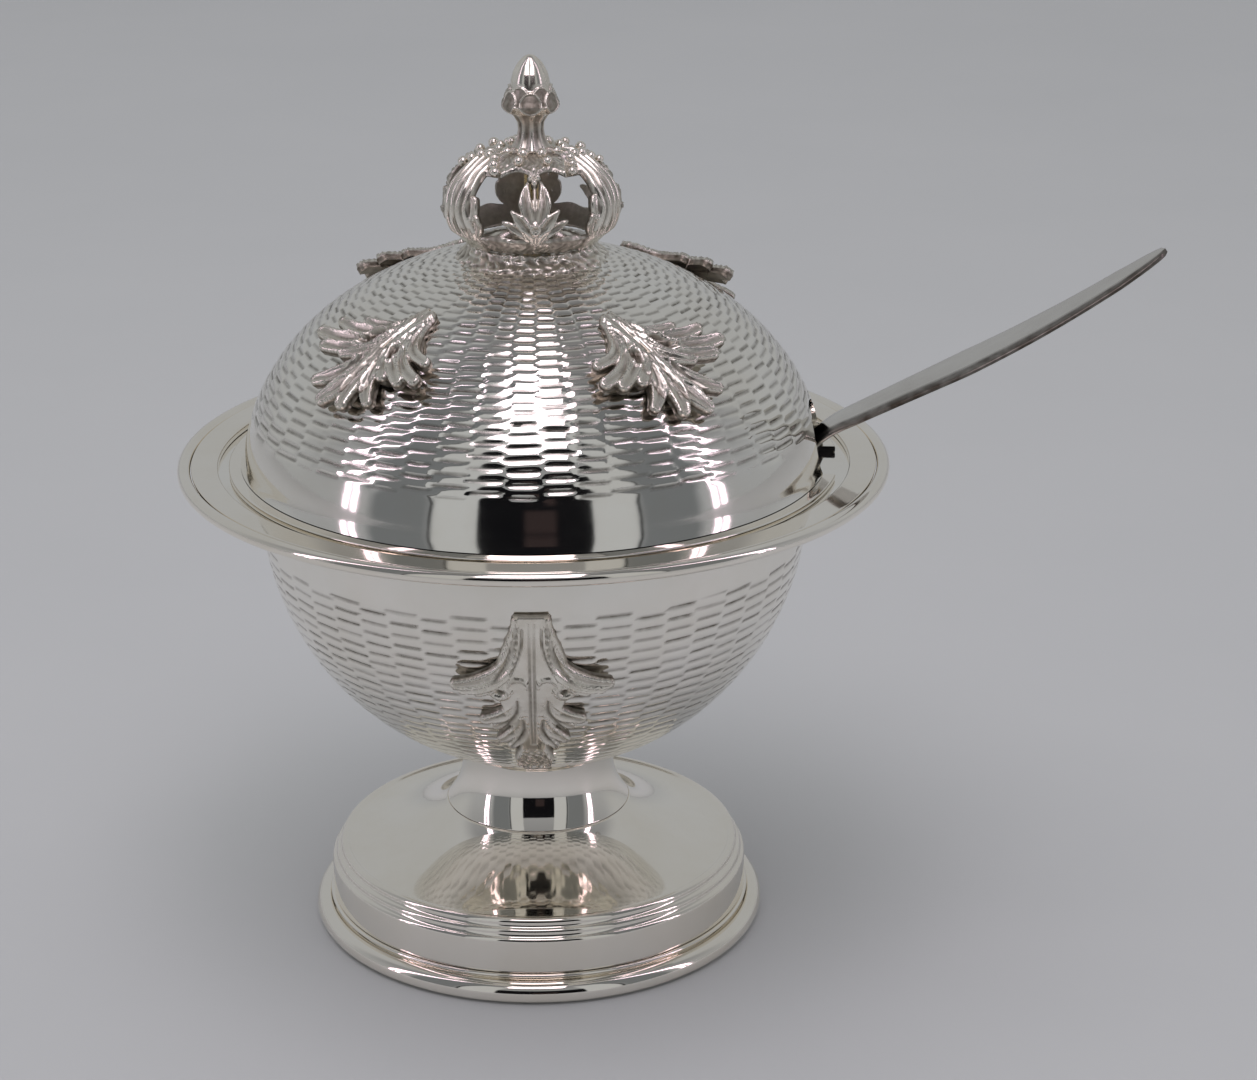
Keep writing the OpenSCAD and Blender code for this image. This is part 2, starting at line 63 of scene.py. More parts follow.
FOOT_R = reach("foot_base_ring")[0]
SWELL = 7.3         # how far the foot's top sweeps up to the stem
FOOT_RISE = reach("foot_plate")[2] - SWELL
BOWL_BOTTOM = reach("bowl")[1]
SEAT = reach("bowl")[2]
WIDE = SEAT - 5     # level of the bowl's widest part
RIM_R = reach("rim_wire")[0]
LID_R, _, LID_SEAT = reach("lid_bezel")
DOME_TOP = reach("lid_dome")[2]
CROWN_R, CROWN_FOOT, CROWN_TOP = reach("crown")
print("foot radius", round(FOOT_R, 2), "rim radius", round(RIM_R, 2), "seat", round(SEAT, 2))

# %% [markdown]
# ## Meshes from outlines
# Nearly every silver bowl is spun on a lathe, so a mesh is made the same way: an
# outline of radius and height is turned round the centre line. A modifier such as
# Screw would do it too, but here each ring's spacing is chosen, so corners get
# tight rings beside them and a mirror-smooth face keeps straight reflections.
# %% Lathe helpers


def new_object(name, points, faces):
    """A smooth-shaded object from points in millimetres."""
    mesh = bpy.data.meshes.new(name)
    mesh.from_pydata((np.asarray(points, float) * MM).tolist(), [], faces)
    mesh.validate()
    mesh.shade_smooth()
    obj = bpy.data.objects.new(name, mesh)
    bpy.context.scene.collection.objects.link(obj)
    return obj


def area(outline):
    """Signed area of an outline; it is above 0 where the faces will point outwards."""
    r, z = np.asarray(outline, float).T
    return 0.5 * float(np.sum(r * np.roll(z, -1) - np.roll(r, -1) * z))


def lathe(name, outline, around=256, closed=True):
    """Turns (r, z) points round the centre line; an open outline starts and ends on it."""
    outline = list(outline)
    if area(outline) < 0:
        outline.reverse()
    turns = np.linspace(0, 2 * math.pi, around, endpoint=False)
    points, rows = [], []
    for r, z in outline:
        first = len(points)
        if r < 1e-6:
            points.append((0, 0, z))
            rows.append([first])
        else:
            points += [(r * math.cos(t), r * math.sin(t), z) for t in turns]
            rows.append(list(range(first, first + around)))
    faces = []
    for i in range(len(rows) if closed else len(rows) - 1):
        a, b = rows[i], rows[(i + 1) % len(rows)]
        for j in range(around):
            k = (j + 1) % around
            if len(a) == 1 and len(b) == 1:
                break
            if len(a) == 1:
                faces.append((a[0], b[k], b[j]))
            elif len(b) == 1:
                faces.append((a[j], a[k], b[0]))
            else:
                faces.append((a[j], a[k], b[k], b[j]))
    return new_object(name, points, faces)


def rounded(corners, closed=True, steps=6, guard=0.12):
    """Rounds each (r, z, radius) corner with an arc, and sets a ring close beside each arc."""
    out = []
    n = len(corners)
    for i, (r, z, radius) in enumerate(corners):
        here = np.array([r, z], float)
        if radius <= 0 or (not closed and i in (0, n - 1)):
            out.append(tuple(here))
            continue
        to_a = np.array(corners[i - 1][:2], float) - here
        to_b = np.array(corners[(i + 1) % n][:2], float) - here
        len_a, len_b = np.linalg.norm(to_a), np.linalg.norm(to_b)
        to_a, to_b = to_a / len_a, to_b / len_b
        half = math.acos(max(-1, min(1, float(to_a @ to_b)))) / 2
        if half > math.radians(88):
            out.append(tuple(here))
            continue
        cut = min(radius / math.tan(half), 0.45 * len_a, 0.45 * len_b)
        radius = cut * math.tan(half)
        middle = here + (to_a + to_b) / np.linalg.norm(to_a + to_b) * radius / math.sin(half)
        start, end = here + to_a * cut, here + to_b * cut
        if len_a > 4 * cut + guard:
            out.append(tuple(start + to_a * guard))
        a0 = math.atan2(*(start - middle)[::-1])
        a1 = math.atan2(*(end - middle)[::-1])
        sweep = (a1 - a0 + math.pi) % (2 * math.pi) - math.pi
        for k in range(steps + 1):
            t = a0 + sweep * k / steps
            out.append((middle[0] + radius * math.cos(t), middle[1] + radius * math.sin(t)))
        if len_b > 4 * cut + guard:
            out.append(tuple(end + to_b * guard))
    return out


def arc(r0, z0, radius, start, end, steps=10):
    """Points on a circle in the (r, z) plane, from one angle to another in degrees."""
    return [
        (r0 + radius * math.cos(math.radians(start + (end - start) * k / steps)),
         z0 + radius * math.sin(math.radians(start + (end - start) * k / steps)))
        for k in range(steps + 1)
    ]


def finish_piece(obj, material, body, slot, *nodes):
    """Gives a piece its material and its body, and lets it stand for CAD nodes."""
    obj.data.materials.clear()
    obj.data.materials.append(material)
    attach(obj, body)
    if nodes:
        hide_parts(*nodes)
    print(obj.name, len(obj.data.polygons), "faces")
    return obj


# %% [markdown]
# ## Silver, polished and aged
# Polished silver is a mirror with a faint warmth, crossed by hair-fine wiping
# marks and dulled in soft patches by handling. One node group makes the marks and
# the patches for every silver finish; each material gives it its own amounts.
# Three helpers come first: they add a node, add a Math node, and start a group.
# %% Node helpers


def add(tree, kind, **values):
    """Adds a node, sets its properties, then its inputs by position or name."""
    node = tree.nodes.new(kind)
    inputs = values.pop("inputs", {})
    for key, value in values.items():
        setattr(node, key, value)
    for key, value in inputs.items():
        socket = node.inputs[key]
        if isinstance(value, bpy.types.NodeSocket):
            tree.links.new(value, socket)
        else:
            socket.default_value = value
    return node


def maths(tree, operation, *values, clamp=False):
    """A Math node's result; values are numbers or sockets."""
    node = add(tree, "ShaderNodeMath", operation=operation, use_clamp=clamp,
               inputs=dict(enumerate(values)))
    return node.outputs[0]


def group(name, inputs, outputs, kind="ShaderNodeTree"):
    """A node group with named inputs (name, socket type, default) and outputs."""
    tree = bpy.data.node_groups.new(name, kind)
    for label, socket, default in inputs:
        item = tree.interface.new_socket(label, in_out="INPUT", socket_type=socket)
        if default is not None:
            item.default_value = default
    for label, socket in outputs:
        tree.interface.new_socket(label, in_out="OUTPUT", socket_type=socket)
    return tree, tree.nodes.new("NodeGroupInput"), tree.nodes.new("NodeGroupOutput")


# %% [markdown]
# Handling leaves two marks on silver. Soft patches, a noise a few centimetres wide,
# take off some gloss and warm the colour. Hair-fine wiping marks are two stretched
# noises that cross each other; they go out as a height for a Bump node. Nothing
# here depends on where the camera stands.
# %% Handling marks
marks, marks_in, marks_out = group(
    "Handling marks",
    [("Clean Colour", "NodeSocketColor", (0.9, 0.9, 0.9, 1)),
     ("Dull Colour", "NodeSocketColor", (0.8, 0.76, 0.7, 1)),
     ("Gloss", "NodeSocketFloat", 0.04),
     ("Dullness", "NodeSocketFloat", 0.05),
     ("Patch Size", "NodeSocketFloat", 60.0)],
    [("Color", "NodeSocketColor"), ("Roughness", "NodeSocketFloat"), ("Height", "NodeSocketFloat")])
place = add(marks, "ShaderNodeTexCoord").outputs["Object"]
patches = add(marks, "ShaderNodeTexNoise", inputs={"Vector": place, "Detail": 4.0, "Roughness": 0.6})
marks.links.new(marks_in.outputs["Patch Size"], patches.inputs["Scale"])
patch = maths(marks, "MULTIPLY_ADD", patches.outputs[0], 2.6, -0.95)
patch = maths(marks, "SMOOTH_MAX", patch, 0.0, 0.1)
hairs = []
for turn, stretch in (((0.3, 0.2, 0.7), (900, 24, 900)), ((1.1, 0.6, -0.5), (24, 800, 700))):
    turned = add(marks, "ShaderNodeMapping", inputs={"Vector": place, "Rotation": turn, "Scale": stretch})
    hairs.append(add(marks, "ShaderNodeTexNoise",
                     inputs={"Vector": turned.outputs[0], "Scale": 1.0, "Detail": 2.0}).outputs[0])
hair = maths(marks, "MULTIPLY", maths(marks, "ADD", *hairs), 0.5)
rough = maths(marks, "MULTIPLY_ADD", patch, marks_in.outputs["Dullness"], marks_in.outputs["Gloss"])
shade = add(marks, "ShaderNodeMix", data_type="RGBA",
            inputs={0: maths(marks, "MULTIPLY", patch, 0.6, clamp=True),
                    6: marks_in.outputs["Clean Colour"], 7: marks_in.outputs["Dull Colour"]})
marks.links.new(shade.outputs[2], marks_out.inputs["Color"])
marks.links.new(rough, marks_out.inputs["Roughness"])
marks.links.new(hair, marks_out.inputs["Height"])
print(marks.name, "group:", len(marks.nodes), "nodes")

# %% [markdown]
# Cast and tooled silver also darkens where a cloth can't reach. Each such piece
# carries an attribute called "hollow", 0 on its ridges and 1 at the bottom of its
# grooves. A second group uses it to mix in the dark, rougher patina. The same
# attribute also carries painted shade under the castings, in the crown's pierced
# bead and along the spoon's near edge.
# %% The group for patina and painted shade
patina, patina_in, patina_out = group(
    "Patina and painted shade",
    [("Color", "NodeSocketColor", (0.9, 0.9, 0.9, 1)),
     ("Roughness", "NodeSocketFloat", 0.1),
     ("Hollow", "NodeSocketFloat", 0.0),
     ("Patina Colour", "NodeSocketColor", (0.2, 0.18, 0.15, 1)),
     ("Amount", "NodeSocketFloat", 1.0),
     ("Grain", "NodeSocketFloat", 900.0)],
    [("Color", "NodeSocketColor"), ("Roughness", "NodeSocketFloat")])
place = add(patina, "ShaderNodeTexCoord").outputs["Object"]
grain = add(patina, "ShaderNodeTexNoise", inputs={"Vector": place, "Detail": 3.0})
patina.links.new(patina_in.outputs["Grain"], grain.inputs["Scale"])
uneven = maths(patina, "MULTIPLY_ADD", grain.outputs[0], 0.9, 0.45)
amount = maths(patina, "MULTIPLY", maths(patina, "MULTIPLY", patina_in.outputs["Hollow"], uneven),
               patina_in.outputs["Amount"], clamp=True)
tone = add(patina, "ShaderNodeMix", data_type="RGBA",
           inputs={0: amount, 6: patina_in.outputs["Color"], 7: patina_in.outputs["Patina Colour"]})
patina.links.new(tone.outputs[2], patina_out.inputs["Color"])
patina.links.new(maths(patina, "MULTIPLY_ADD", amount, 0.3, patina_in.outputs["Roughness"]),
                 patina_out.inputs["Roughness"])
print(patina.name, "group:", len(patina.nodes), "nodes")

# %% [markdown]
# Five metals are mixed from these groups: mirror-bright silver for what is spun and
# polished, the same silver with dark strokes for what is tooled, a duller and
# warmer one for castings, a worn one for the spoon whose dark grey colour is also
# painted shade, and brass for the fixings.
# %% The five metals


def metal(name, clean, dull, gloss, dullness, patch_size, hair_depth, hollows=None):
    """A metal from the handling marks and, for cast and tooled work, the patina; on the spoon that mix
    carries painted shade.
    """
    material = bpy.data.materials.new(name)
    material.use_nodes = True
    tree = material.node_tree
    shader = tree.nodes["Principled BSDF"]
    shader.inputs["Metallic"].default_value = 1.0
    handled = add(tree, "ShaderNodeGroup", node_tree=marks, inputs={
        "Clean Colour": (*clean, 1), "Dull Colour": (*dull, 1), "Gloss": gloss,
        "Dullness": dullness, "Patch Size": patch_size})
    colour, roughness = handled.outputs["Color"], handled.outputs["Roughness"]
    if hollows:
        hollow = add(tree, "ShaderNodeAttribute", attribute_name="hollow")
        aged = add(tree, "ShaderNodeGroup", node_tree=patina, inputs={
            "Color": colour, "Roughness": roughness, "Hollow": hollow.outputs["Fac"],
            "Patina Colour": (*hollows[0], 1), "Amount": hollows[1], "Grain": hollows[2]})
        colour, roughness = aged.outputs["Color"], aged.outputs["Roughness"]
    bump = add(tree, "ShaderNodeBump", inputs={
        "Strength": 1.0, "Distance": hair_depth * MM, "Height": handled.outputs["Height"]})
    tree.links.new(colour, shader.inputs["Base Color"])
    tree.links.new(roughness, shader.inputs["Roughness"])
    tree.links.new(bump.outputs["Normal"], shader.inputs["Normal"])
    return material


POLISHED = metal("Polished silver", (0.94, 0.90, 0.83), (0.86, 0.80, 0.69), 0.035, 0.05, 45, 0.0035)
TOOLED = metal("Tooled silver", (0.93, 0.905, 0.85), (0.85, 0.80, 0.71), 0.05, 0.06, 60, 0.003,
               ((0.14, 0.125, 0.10), 0.95, 700.0))
CAST = metal("Cast silver", (0.90, 0.86, 0.78), (0.60, 0.545, 0.45), 0.18, 0.14, 220, 0.02,
             ((0.115, 0.092, 0.066), 0.97, 1100.0))
# the spoon: worn silver, with its base colour darkened further as painted shade
WORN_AND_SHADED = metal("Worn spoon silver with painted shade", (0.66, 0.64, 0.60), (0.48, 0.45, 0.41), 0.10, 0.10, 90, 0.006,
             ((0.085, 0.070, 0.056), 0.95, 420.0))
BRASS = metal("Turned brass", (0.80, 0.63, 0.33), (0.55, 0.42, 0.24), 0.22, 0.12, 150, 0.01)
print("metals:", *(m.name for m in (POLISHED, TOOLED, CAST, WORN_AND_SHADED, BRASS)), sep="\n  ")

# %% [markdown]
# ## The foot
# The bowl stands on a rolled ring that stiffens the edge of the foot. Above a
# cove sits the foot itself, spun from sheet: an upright band, two small beads on
# its shoulder, and a mirror-bright top that sweeps up to the stem.
# %% Rolled base ring
BAND_R = reach("foot_plate")[0]
RING_TOP = reach("foot_base_ring")[2]
ROLL = 0.41 * RING_TOP      # radius of the rolled edge
ring_inner = BAND_R - 3
outline = [(ring_inner, 0.0), (FOOT_R - ROLL - 0.4, 0.0)]
outline += arc(FOOT_R - ROLL, ROLL, ROLL, -90, 155, 26)
outline += arc(FOOT_R - 2 * ROLL + 0.55, ROLL + 2.15, 0.9, -100, -165, 5)
outline += [(BAND_R + 0.1, RING_TOP - 0.7)]
outline += arc(BAND_R + 0.15, RING_TOP - 0.35, 0.35, -60, 90, 8)
outline += [(ring_inner, RING_TOP)]
base_ring = lathe("foot_base_ring_rolled", outline, 320)
finish_piece(base_ring, POLISHED, "bowl_on_foot", "polished_silver", "foot_base_ring")

# %% [markdown]
# The sweep of the foot's top is a mirror, so its curve decides what is seen in it.
# Two powers are added: a slow one that lifts the whole sweep, and a steep one that
# turns up only near the stem.
# %% Foot plate with its beaded shoulder
TOP_R = BAND_R - 2.5        # where the sweep starts, inside the two beads
STEM_FOOT_R = 16.0
FOOT_WALL = 1.4             # upright thickness of the sloping top
FLANGE_W = 3                # flat ring inside the foot, under the stem
band_foot = RING_TOP + SOLDER


def foot_top(r):
    """Level of the foot's top at a radius."""
    inward = (TOP_R - r) / (TOP_R - STEM_FOOT_R)
    return FOOT_RISE + SWELL * (0.82 * inward ** 1.75 + 0.18 * inward ** 8)


sweep = [(r, foot_top(r)) for r in np.linspace(STEM_FOOT_R, TOP_R - 1, 70)]
outer = list(sweep)
outer += arc(TOP_R + 0.15, FOOT_RISE - 0.4, 0.8, 150, -20, 12)
outer += arc(TOP_R + 1.05, FOOT_RISE - 1.75, 0.7, 80, -15, 10)
outer += arc(BAND_R - 0.75, FOOT_RISE - 3.15, 0.75, 75, 0, 8)
outer += [(BAND_R, FOOT_RISE - 3.4), (BAND_R, FOOT_RISE - 4.5), (BAND_R, band_foot + 0.5)]
outer += arc(BAND_R - 0.15, band_foot + 0.15, 0.15, 0, -90, 4)
inner = [(BAND_R - SHEET, band_foot), (BAND_R - SHEET, FOOT_RISE - 4), (TOP_R - 0.6, FOOT_RISE - 1.6)]
inner += [(r, z - FOOT_WALL) for r, z in sweep[:-2:6][::-1]]
inner += [(STEM_FOOT_R - FLANGE_W, FOOT_RISE + SWELL - FOOT_WALL),
          (STEM_FOOT_R - FLANGE_W, FOOT_RISE + SWELL)]
foot_plate = lathe("foot_plate_mirror", outer + inner, 320)
finish_piece(foot_plate, POLISHED, "bowl_on_foot", "polished_silver", "foot_plate")

# %% [markdown]
# ## The stem
# A short tube carries the sweep of the foot on up to a waist and opens a little
# again under the bowl. Power curves give the same slow sweep as a spun stem, and
# many rings keep the mirror smooth.
# %% Trumpet stem
STEM_FOOT = FOOT_RISE + SWELL + SOLDER
WAIST_RISE = 8              # height of the waist above the stem's foot
WAIST = STEM_FOOT + WAIST_RISE
WAIST_R = 13.15
STEM_WALL = 1.4


def stem_r(z):
    """Outer radius of the stem at a level."""
    if z < WAIST:
        return WAIST_R + (STEM_FOOT_R - WAIST_R) * ((WAIST - z) / WAIST_RISE) ** 2.2
    return WAIST_R + 0.03 * (z - WAIST) ** 2


levels = np.linspace(STEM_FOOT, BOWL_BOTTOM + 1.75, 64)
outer = [(stem_r(z), z) for z in levels]
inner = [(r - STEM_WALL, z) for r, z in outer[::-1][::4]]
inner[0] = (inner[0][0], BOWL_BOTTOM + 1.4)
stem = lathe("stem_trumpet", outer + inner, 256)
finish_piece(stem, POLISHED, "bowl_on_foot", "polished_silver", "stem")

# %% [markdown]
# ## Tooled strokes
# The lid and the bowl are covered with short strokes, punched row by row with a
# blunt tool, so that the skin looks like bark. The strokes stand in columns from
# the pole to the edge, and each column's rows are shifted against its neighbour's.
# Such a pattern follows a rule, so a Geometry Nodes tree makes it: it reads how
# far a point lies along and around the piece, works out which stroke it is in, and
# sinks or lifts the point along its normal. It also writes the "hollow" attribute.
# %% Geometry Nodes helpers


def field(tree, name):
    """A named attribute, read as a number."""
    return add(tree, "GeometryNodeInputNamedAttribute", data_type="FLOAT", inputs={"Name": name}).outputs[0]


def chance(tree, index, seed, low=0.0, high=1.0):
    """A repeatable random number for an index."""
    node = add(tree, "FunctionNodeRandomValue", data_type="FLOAT",
               inputs={2: low, 3: high, "ID": index, "Seed": seed})
    return node.outputs[1]


def smooth(tree, value, low, high):
    """0 below low, 1 above high, smooth between."""
    node = add(tree, "ShaderNodeMapRange", interpolation_type="SMOOTHSTEP",
               inputs={0: value, 1: low, 2: high, 3: 0.0, 4: 1.0})
    return node.outputs[0]


def plain_mesh(obj):
    """Replaces an object's mesh by what its modifiers make of it, and drops them."""
    bpy.context.view_layer.update()
    graph = bpy.context.evaluated_depsgraph_get()
    mesh = bpy.data.meshes.new_from_object(obj.evaluated_get(graph), depsgraph=graph)
    obj.modifiers.clear()
    obj.data = mesh
    return obj


def run_nodes(obj, tree, values):
    """Runs a Geometry Nodes tree on an object with these named input values."""
    modifier = obj.modifiers.new(tree.name, "NODES")
    modifier.node_group = tree
    sockets = {s.name: s.identifier for s in tree.interface.items_tree if s.in_out == "INPUT"}
    for name, value in values.items():
        modifier[sockets[name]] = value
    return plain_mesh(obj)


# %% [markdown]
# The tree's inputs are the sizes that a silversmith would choose: how many columns
# there are, how high a row is, how wide and deep a stroke, how much the silver
# bulges between strokes, and how uneven the hand is.
# %% Inputs of the stroke tree
strokes, s_in, s_out = group(
    "Tooled strokes",
    [("Geometry", "NodeSocketGeometry", None),
     ("Columns", "NodeSocketInt", 52),
     ("Row Height", "NodeSocketFloat", 2.0),
     ("Groove Width", "NodeSocketFloat", 0.4),
     ("Groove Depth", "NodeSocketFloat", 0.2),
     ("Pillow", "NodeSocketFloat", 0.06),
     ("Unevenness", "NodeSocketFloat", 0.5),
     ("Seed", "NodeSocketInt", 1),
     ("Material", "NodeSocketMaterial", None)],
    [("Geometry", "NodeSocketGeometry")], "GeometryNodeTree")
S = s_in.outputs

# %% [markdown]
# First the tree finds the column and the row of each point. A slow noise lets both
# drift a little, and every other column is shifted by half a row.
# %% Columns and rows
around, along, tooling = (field(strokes, n) for n in ("around", "along", "tooling"))
spot = add(strokes, "GeometryNodeInputPosition").outputs[0]
drift = add(strokes, "ShaderNodeTexNoise", inputs={"Vector": spot, "Scale": 90.0, "Detail": 1.0}).outputs[0]
drift = maths(strokes, "MULTIPLY", maths(strokes, "SUBTRACT", drift, 0.5), S["Unevenness"])
column_at = maths(strokes, "ADD", maths(strokes, "MULTIPLY", around, S["Columns"]),
                  maths(strokes, "MULTIPLY", drift, 0.5))
column = maths(strokes, "FLOORED_MODULO", maths(strokes, "FLOOR", column_at), S["Columns"])
across = maths(strokes, "SUBTRACT", maths(strokes, "FRACT", column_at), 0.5)
shift = maths(strokes, "ADD", maths(strokes, "MULTIPLY", maths(strokes, "FLOORED_MODULO", column, 2.0), 0.5),
              chance(strokes, column, S["Seed"], 0.0, 0.35))
row_at = maths(strokes, "ADD", maths(strokes, "ADD", maths(strokes, "DIVIDE", along, S["Row Height"]), shift),
               maths(strokes, "MULTIPLY", drift, 0.7))
groove_row = maths(strokes, "ROUND", row_at)     # strokes lie on whole numbers
brick_row = maths(strokes, "FLOOR", row_at)      # pillows lie between them
groove_id = maths(strokes, "MULTIPLY_ADD", groove_row, 131.0, column)
brick_id = maths(strokes, "MULTIPLY_ADD", brick_row, 211.0, column)

# %% [markdown]
# A stroke is the set of points near a short line in the middle of its cell. The
# distance to that line is measured in millimetres, so a stroke keeps its width
# where the columns draw together towards the pole.
# %% Strokes
flat = add(strokes, "ShaderNodeSeparateXYZ", inputs={0: spot}).outputs
radius = maths(strokes, "SQRT", maths(strokes, "ADD", maths(strokes, "POWER", flat[0], 2.0),
                                      maths(strokes, "POWER", flat[1], 2.0)))
width = maths(strokes, "DIVIDE", maths(strokes, "MULTIPLY", radius, 2000 * math.pi), S["Columns"])
half = maths(strokes, "MULTIPLY", width, chance(strokes, groove_id, 5, 0.34, 0.52))
beside = maths(strokes, "MULTIPLY", across, width)
above = maths(strokes, "MULTIPLY", maths(strokes, "SUBTRACT", row_at, groove_row), S["Row Height"])
past_end = maths(strokes, "SUBTRACT", maths(strokes, "ABSOLUTE", beside), half)
past_end = maths(strokes, "MAXIMUM", past_end, 0.0)
away = maths(strokes, "SQRT", maths(strokes, "ADD", maths(strokes, "POWER", past_end, 2.0),
                                    maths(strokes, "POWER", above, 2.0)))
groove = maths(strokes, "SUBTRACT", 1.0, smooth(strokes, away, 0.0, S["Groove Width"]))
groove = maths(strokes, "MULTIPLY", groove, chance(strokes, groove_id, 6, 0.55, 1.15))

# %% [markdown]
# The silver between two strokes bulges like a small pillow, and each pillow leans
# its own way, so that neighbours catch the light differently.
# %% Pillows
lift = maths(strokes, "COSINE", maths(strokes, "MULTIPLY", row_at, 2 * math.pi))
lift = maths(strokes, "SUBTRACT", 0.5, maths(strokes, "MULTIPLY", lift, 0.5))
inside = maths(strokes, "SUBTRACT", 1.0, smooth(strokes, maths(strokes, "ABSOLUTE", across), 0.34, 0.5))
lean = maths(strokes, "MULTIPLY", maths(strokes, "SUBTRACT", maths(strokes, "FRACT", row_at), 0.5),
             chance(strokes, brick_id, 7, -1.0, 1.0))
sideways = maths(strokes, "MULTIPLY", across, chance(strokes, brick_id, 8, -1.0, 1.0))
lean = maths(strokes, "ADD", lean, sideways)
lift = maths(strokes, "MULTIPLY", maths(strokes, "ADD", lift, lean), inside)
lift = maths(strokes, "MULTIPLY", lift, S["Pillow"])

# %% [markdown]
# Last, the points move along their normals by both together, faded out where the
# piece isn't tooled, and the strokes are stored as the "hollow" attribute.
# %% Moving the points
rise = maths(strokes, "SUBTRACT", lift, maths(strokes, "MULTIPLY", groove, S["Groove Depth"]))
rise = maths(strokes, "MULTIPLY", maths(strokes, "MULTIPLY", rise, tooling), MM)
normal = add(strokes, "GeometryNodeInputNormal").outputs[0]
offset = add(strokes, "ShaderNodeVectorMath", operation="SCALE", inputs={0: normal, "Scale": rise})
marked = add(strokes, "GeometryNodeStoreNamedAttribute", data_type="FLOAT", domain="POINT", inputs={
    "Geometry": S["Geometry"], "Name": "hollow", "Value": maths(strokes, "MULTIPLY", groove, tooling)})
moved = add(strokes, "GeometryNodeSetPosition", inputs={
    "Geometry": marked.outputs[0], "Offset": offset.outputs[0]})
solid = add(strokes, "GeometryNodeRealizeInstances", inputs={0: moved.outputs[0]})
dressed = add(strokes, "GeometryNodeSetMaterial", inputs={
    "Geometry": solid.outputs[0], "Material": S["Material"]})
strokes.links.new(dressed.outputs[0], s_out.inputs[0])
print("stroke tree:", len(strokes.nodes), "nodes")

# %% [markdown]
# ## Lid and bowl
# Both are shells: an outer curve, an edge, and an inner curve a sheet's thickness
# inside it. The rings are close together where strokes will be tooled and far
# apart where the silver stays plain. Every ring remembers how far along the outer
# curve it lies, which is what the stroke tree reads.
# %% Shells with rings where they are needed


def oval_r(a, b, h):
    """Radius of an upright oval at a height h from its middle."""
    return a * math.sqrt(max(0.0, 1 - (h / b) ** 2))


def evenly(curve, start, end, spacing):
    """Points along a dense curve, between two lengths, at about this spacing."""
    curve = np.asarray(curve, float)
    run = np.concatenate([[0], np.cumsum(np.linalg.norm(np.diff(curve, axis=0), axis=1))])
    end = run[-1] if end is None else end
    count = max(1, round((end - start) / spacing))
    at = np.linspace(start, end, count + 1)
    return [(float(np.interp(s, run, curve[:, 0])), float(np.interp(s, run, curve[:, 1]))) for s in at], at


def shell(name, outer, start, stop, inner, around, fine, fade=0.5):
    """A turned shell whose outer curve is tooled between two lengths along it."""
    total = evenly(outer, 0, None, 1.0)[1][-1]
    stop = min(stop, total)
    rings, lengths = [], []
    for a, b, spacing in ((0, start, 0.8), (start, stop, fine), (stop, total, 1.5)):
        if b - a > 0.05:
            more, at = evenly(outer, a, b, spacing)
            rings += more if not rings else more[1:]
            lengths += list(at if not lengths else at[1:])
    tooled = [min(1.0, max(0.0, (s - start) / fade), max(0.0, (stop - s) / fade)) if start < s < stop else 0.0
              for s in lengths]
    outline = rings + list(inner)
    lengths += [0.0] * len(inner)
    tooled += [0.0] * len(inner)
    if area(outline) < 0:
        outline, lengths, tooled = outline[::-1], lengths[::-1], tooled[::-1]
    obj = lathe(name, outline, around, closed=outline[0][0] > 0)
    values = {"around": [], "along": [], "tooling": []}
    for (r, _), s, t in zip(outline, lengths, tooled):
        n = 1 if r < 1e-6 else around
        values["around"] += list(np.arange(n) / around)
        values["along"] += [s] * n
        values["tooling"] += [t] * n
    for key, data in values.items():
        layer = obj.data.attributes.new(key, "FLOAT", "POINT")
        layer.data.foreach_set("value", np.asarray(data, np.float32))
    return obj


# %% [markdown]
# The dome is half an oval that flares a little at its foot. Its lowest band stays
# plain, and so does the disc under the crown's collar.
# %% The lid's dome
DOME_MID = WIDE + 4         # level of the dome's oval middle
DOME_A, DOME_B = 49.0, DOME_TOP - DOME_MID
DOME_FOOT = LID_SEAT + SOLDER
FLARE_H, FLARE_W = 6, 0.4   # height and width of the flare
FLARE = DOME_FOOT + FLARE_H
STROKES_FROM = 91.8         # level at which the lid's strokes start
BARE_TOP = 11               # length left plain under the collar


def dome_r(z, off=0.0):
    """Radius of the dome at a level; off moves the surface out."""
    flare = DOME_A + FLARE_W - oval_r(DOME_A, DOME_B, DOME_FOOT - DOME_MID)
    flare *= (max(0.0, FLARE - z) / FLARE_H) ** 6
    return oval_r(DOME_A + off, DOME_B + off, z - DOME_MID) + flare


def dome_curve(off, count=600):
    """The dome's curve from its foot to just short of the crest."""
    top = math.acos(1.3 / (DOME_A + off))
    low = math.asin((FLARE - DOME_MID) / DOME_B)
    curve = [(dome_r(z, off), z) for z in np.linspace(DOME_FOOT, FLARE, 40, endpoint=False)]
    return curve + [((DOME_A + off) * math.cos(t), DOME_MID + (DOME_B + off) * math.sin(t))
                    for t in np.linspace(low, top, count)]


outer = dome_curve(0.0)
run = np.cumsum(np.linalg.norm(np.diff(np.asarray(outer), axis=0), axis=1))
plain = float(np.interp(STROKES_FROM, [z for _, z in outer[1:]], run))
collar_at = float(run[-1] - BARE_TOP)
lining = evenly(dome_curve(-SHEET), 0, None, 4.0)[0][::-1]
lid = shell("lid_dome_tooled", outer, plain, collar_at, lining, 416, 0.30)
run_nodes(lid, strokes, {"Columns": 52, "Row Height": 1.95, "Groove Width": 0.46, "Groove Depth": 0.17,
                         "Pillow": 0.075, "Unevenness": 0.55, "Seed": 3, "Material": TOOLED})
print("lid", len(lid.data.polygons), "faces, strokes from", round(plain, 1), "to", round(collar_at, 1), "mm")

# %% [markdown]
# The spoon's notch is an arch cut through the dome's edge. A Boolean modifier
# does it cleanly, because the dome is a closed shell. The same cutter serves the
# seating ring under the dome.
# %% The notch for the spoon
NOTCH_R, NOTCH_TOP = 7.4, SEAT + 11.4


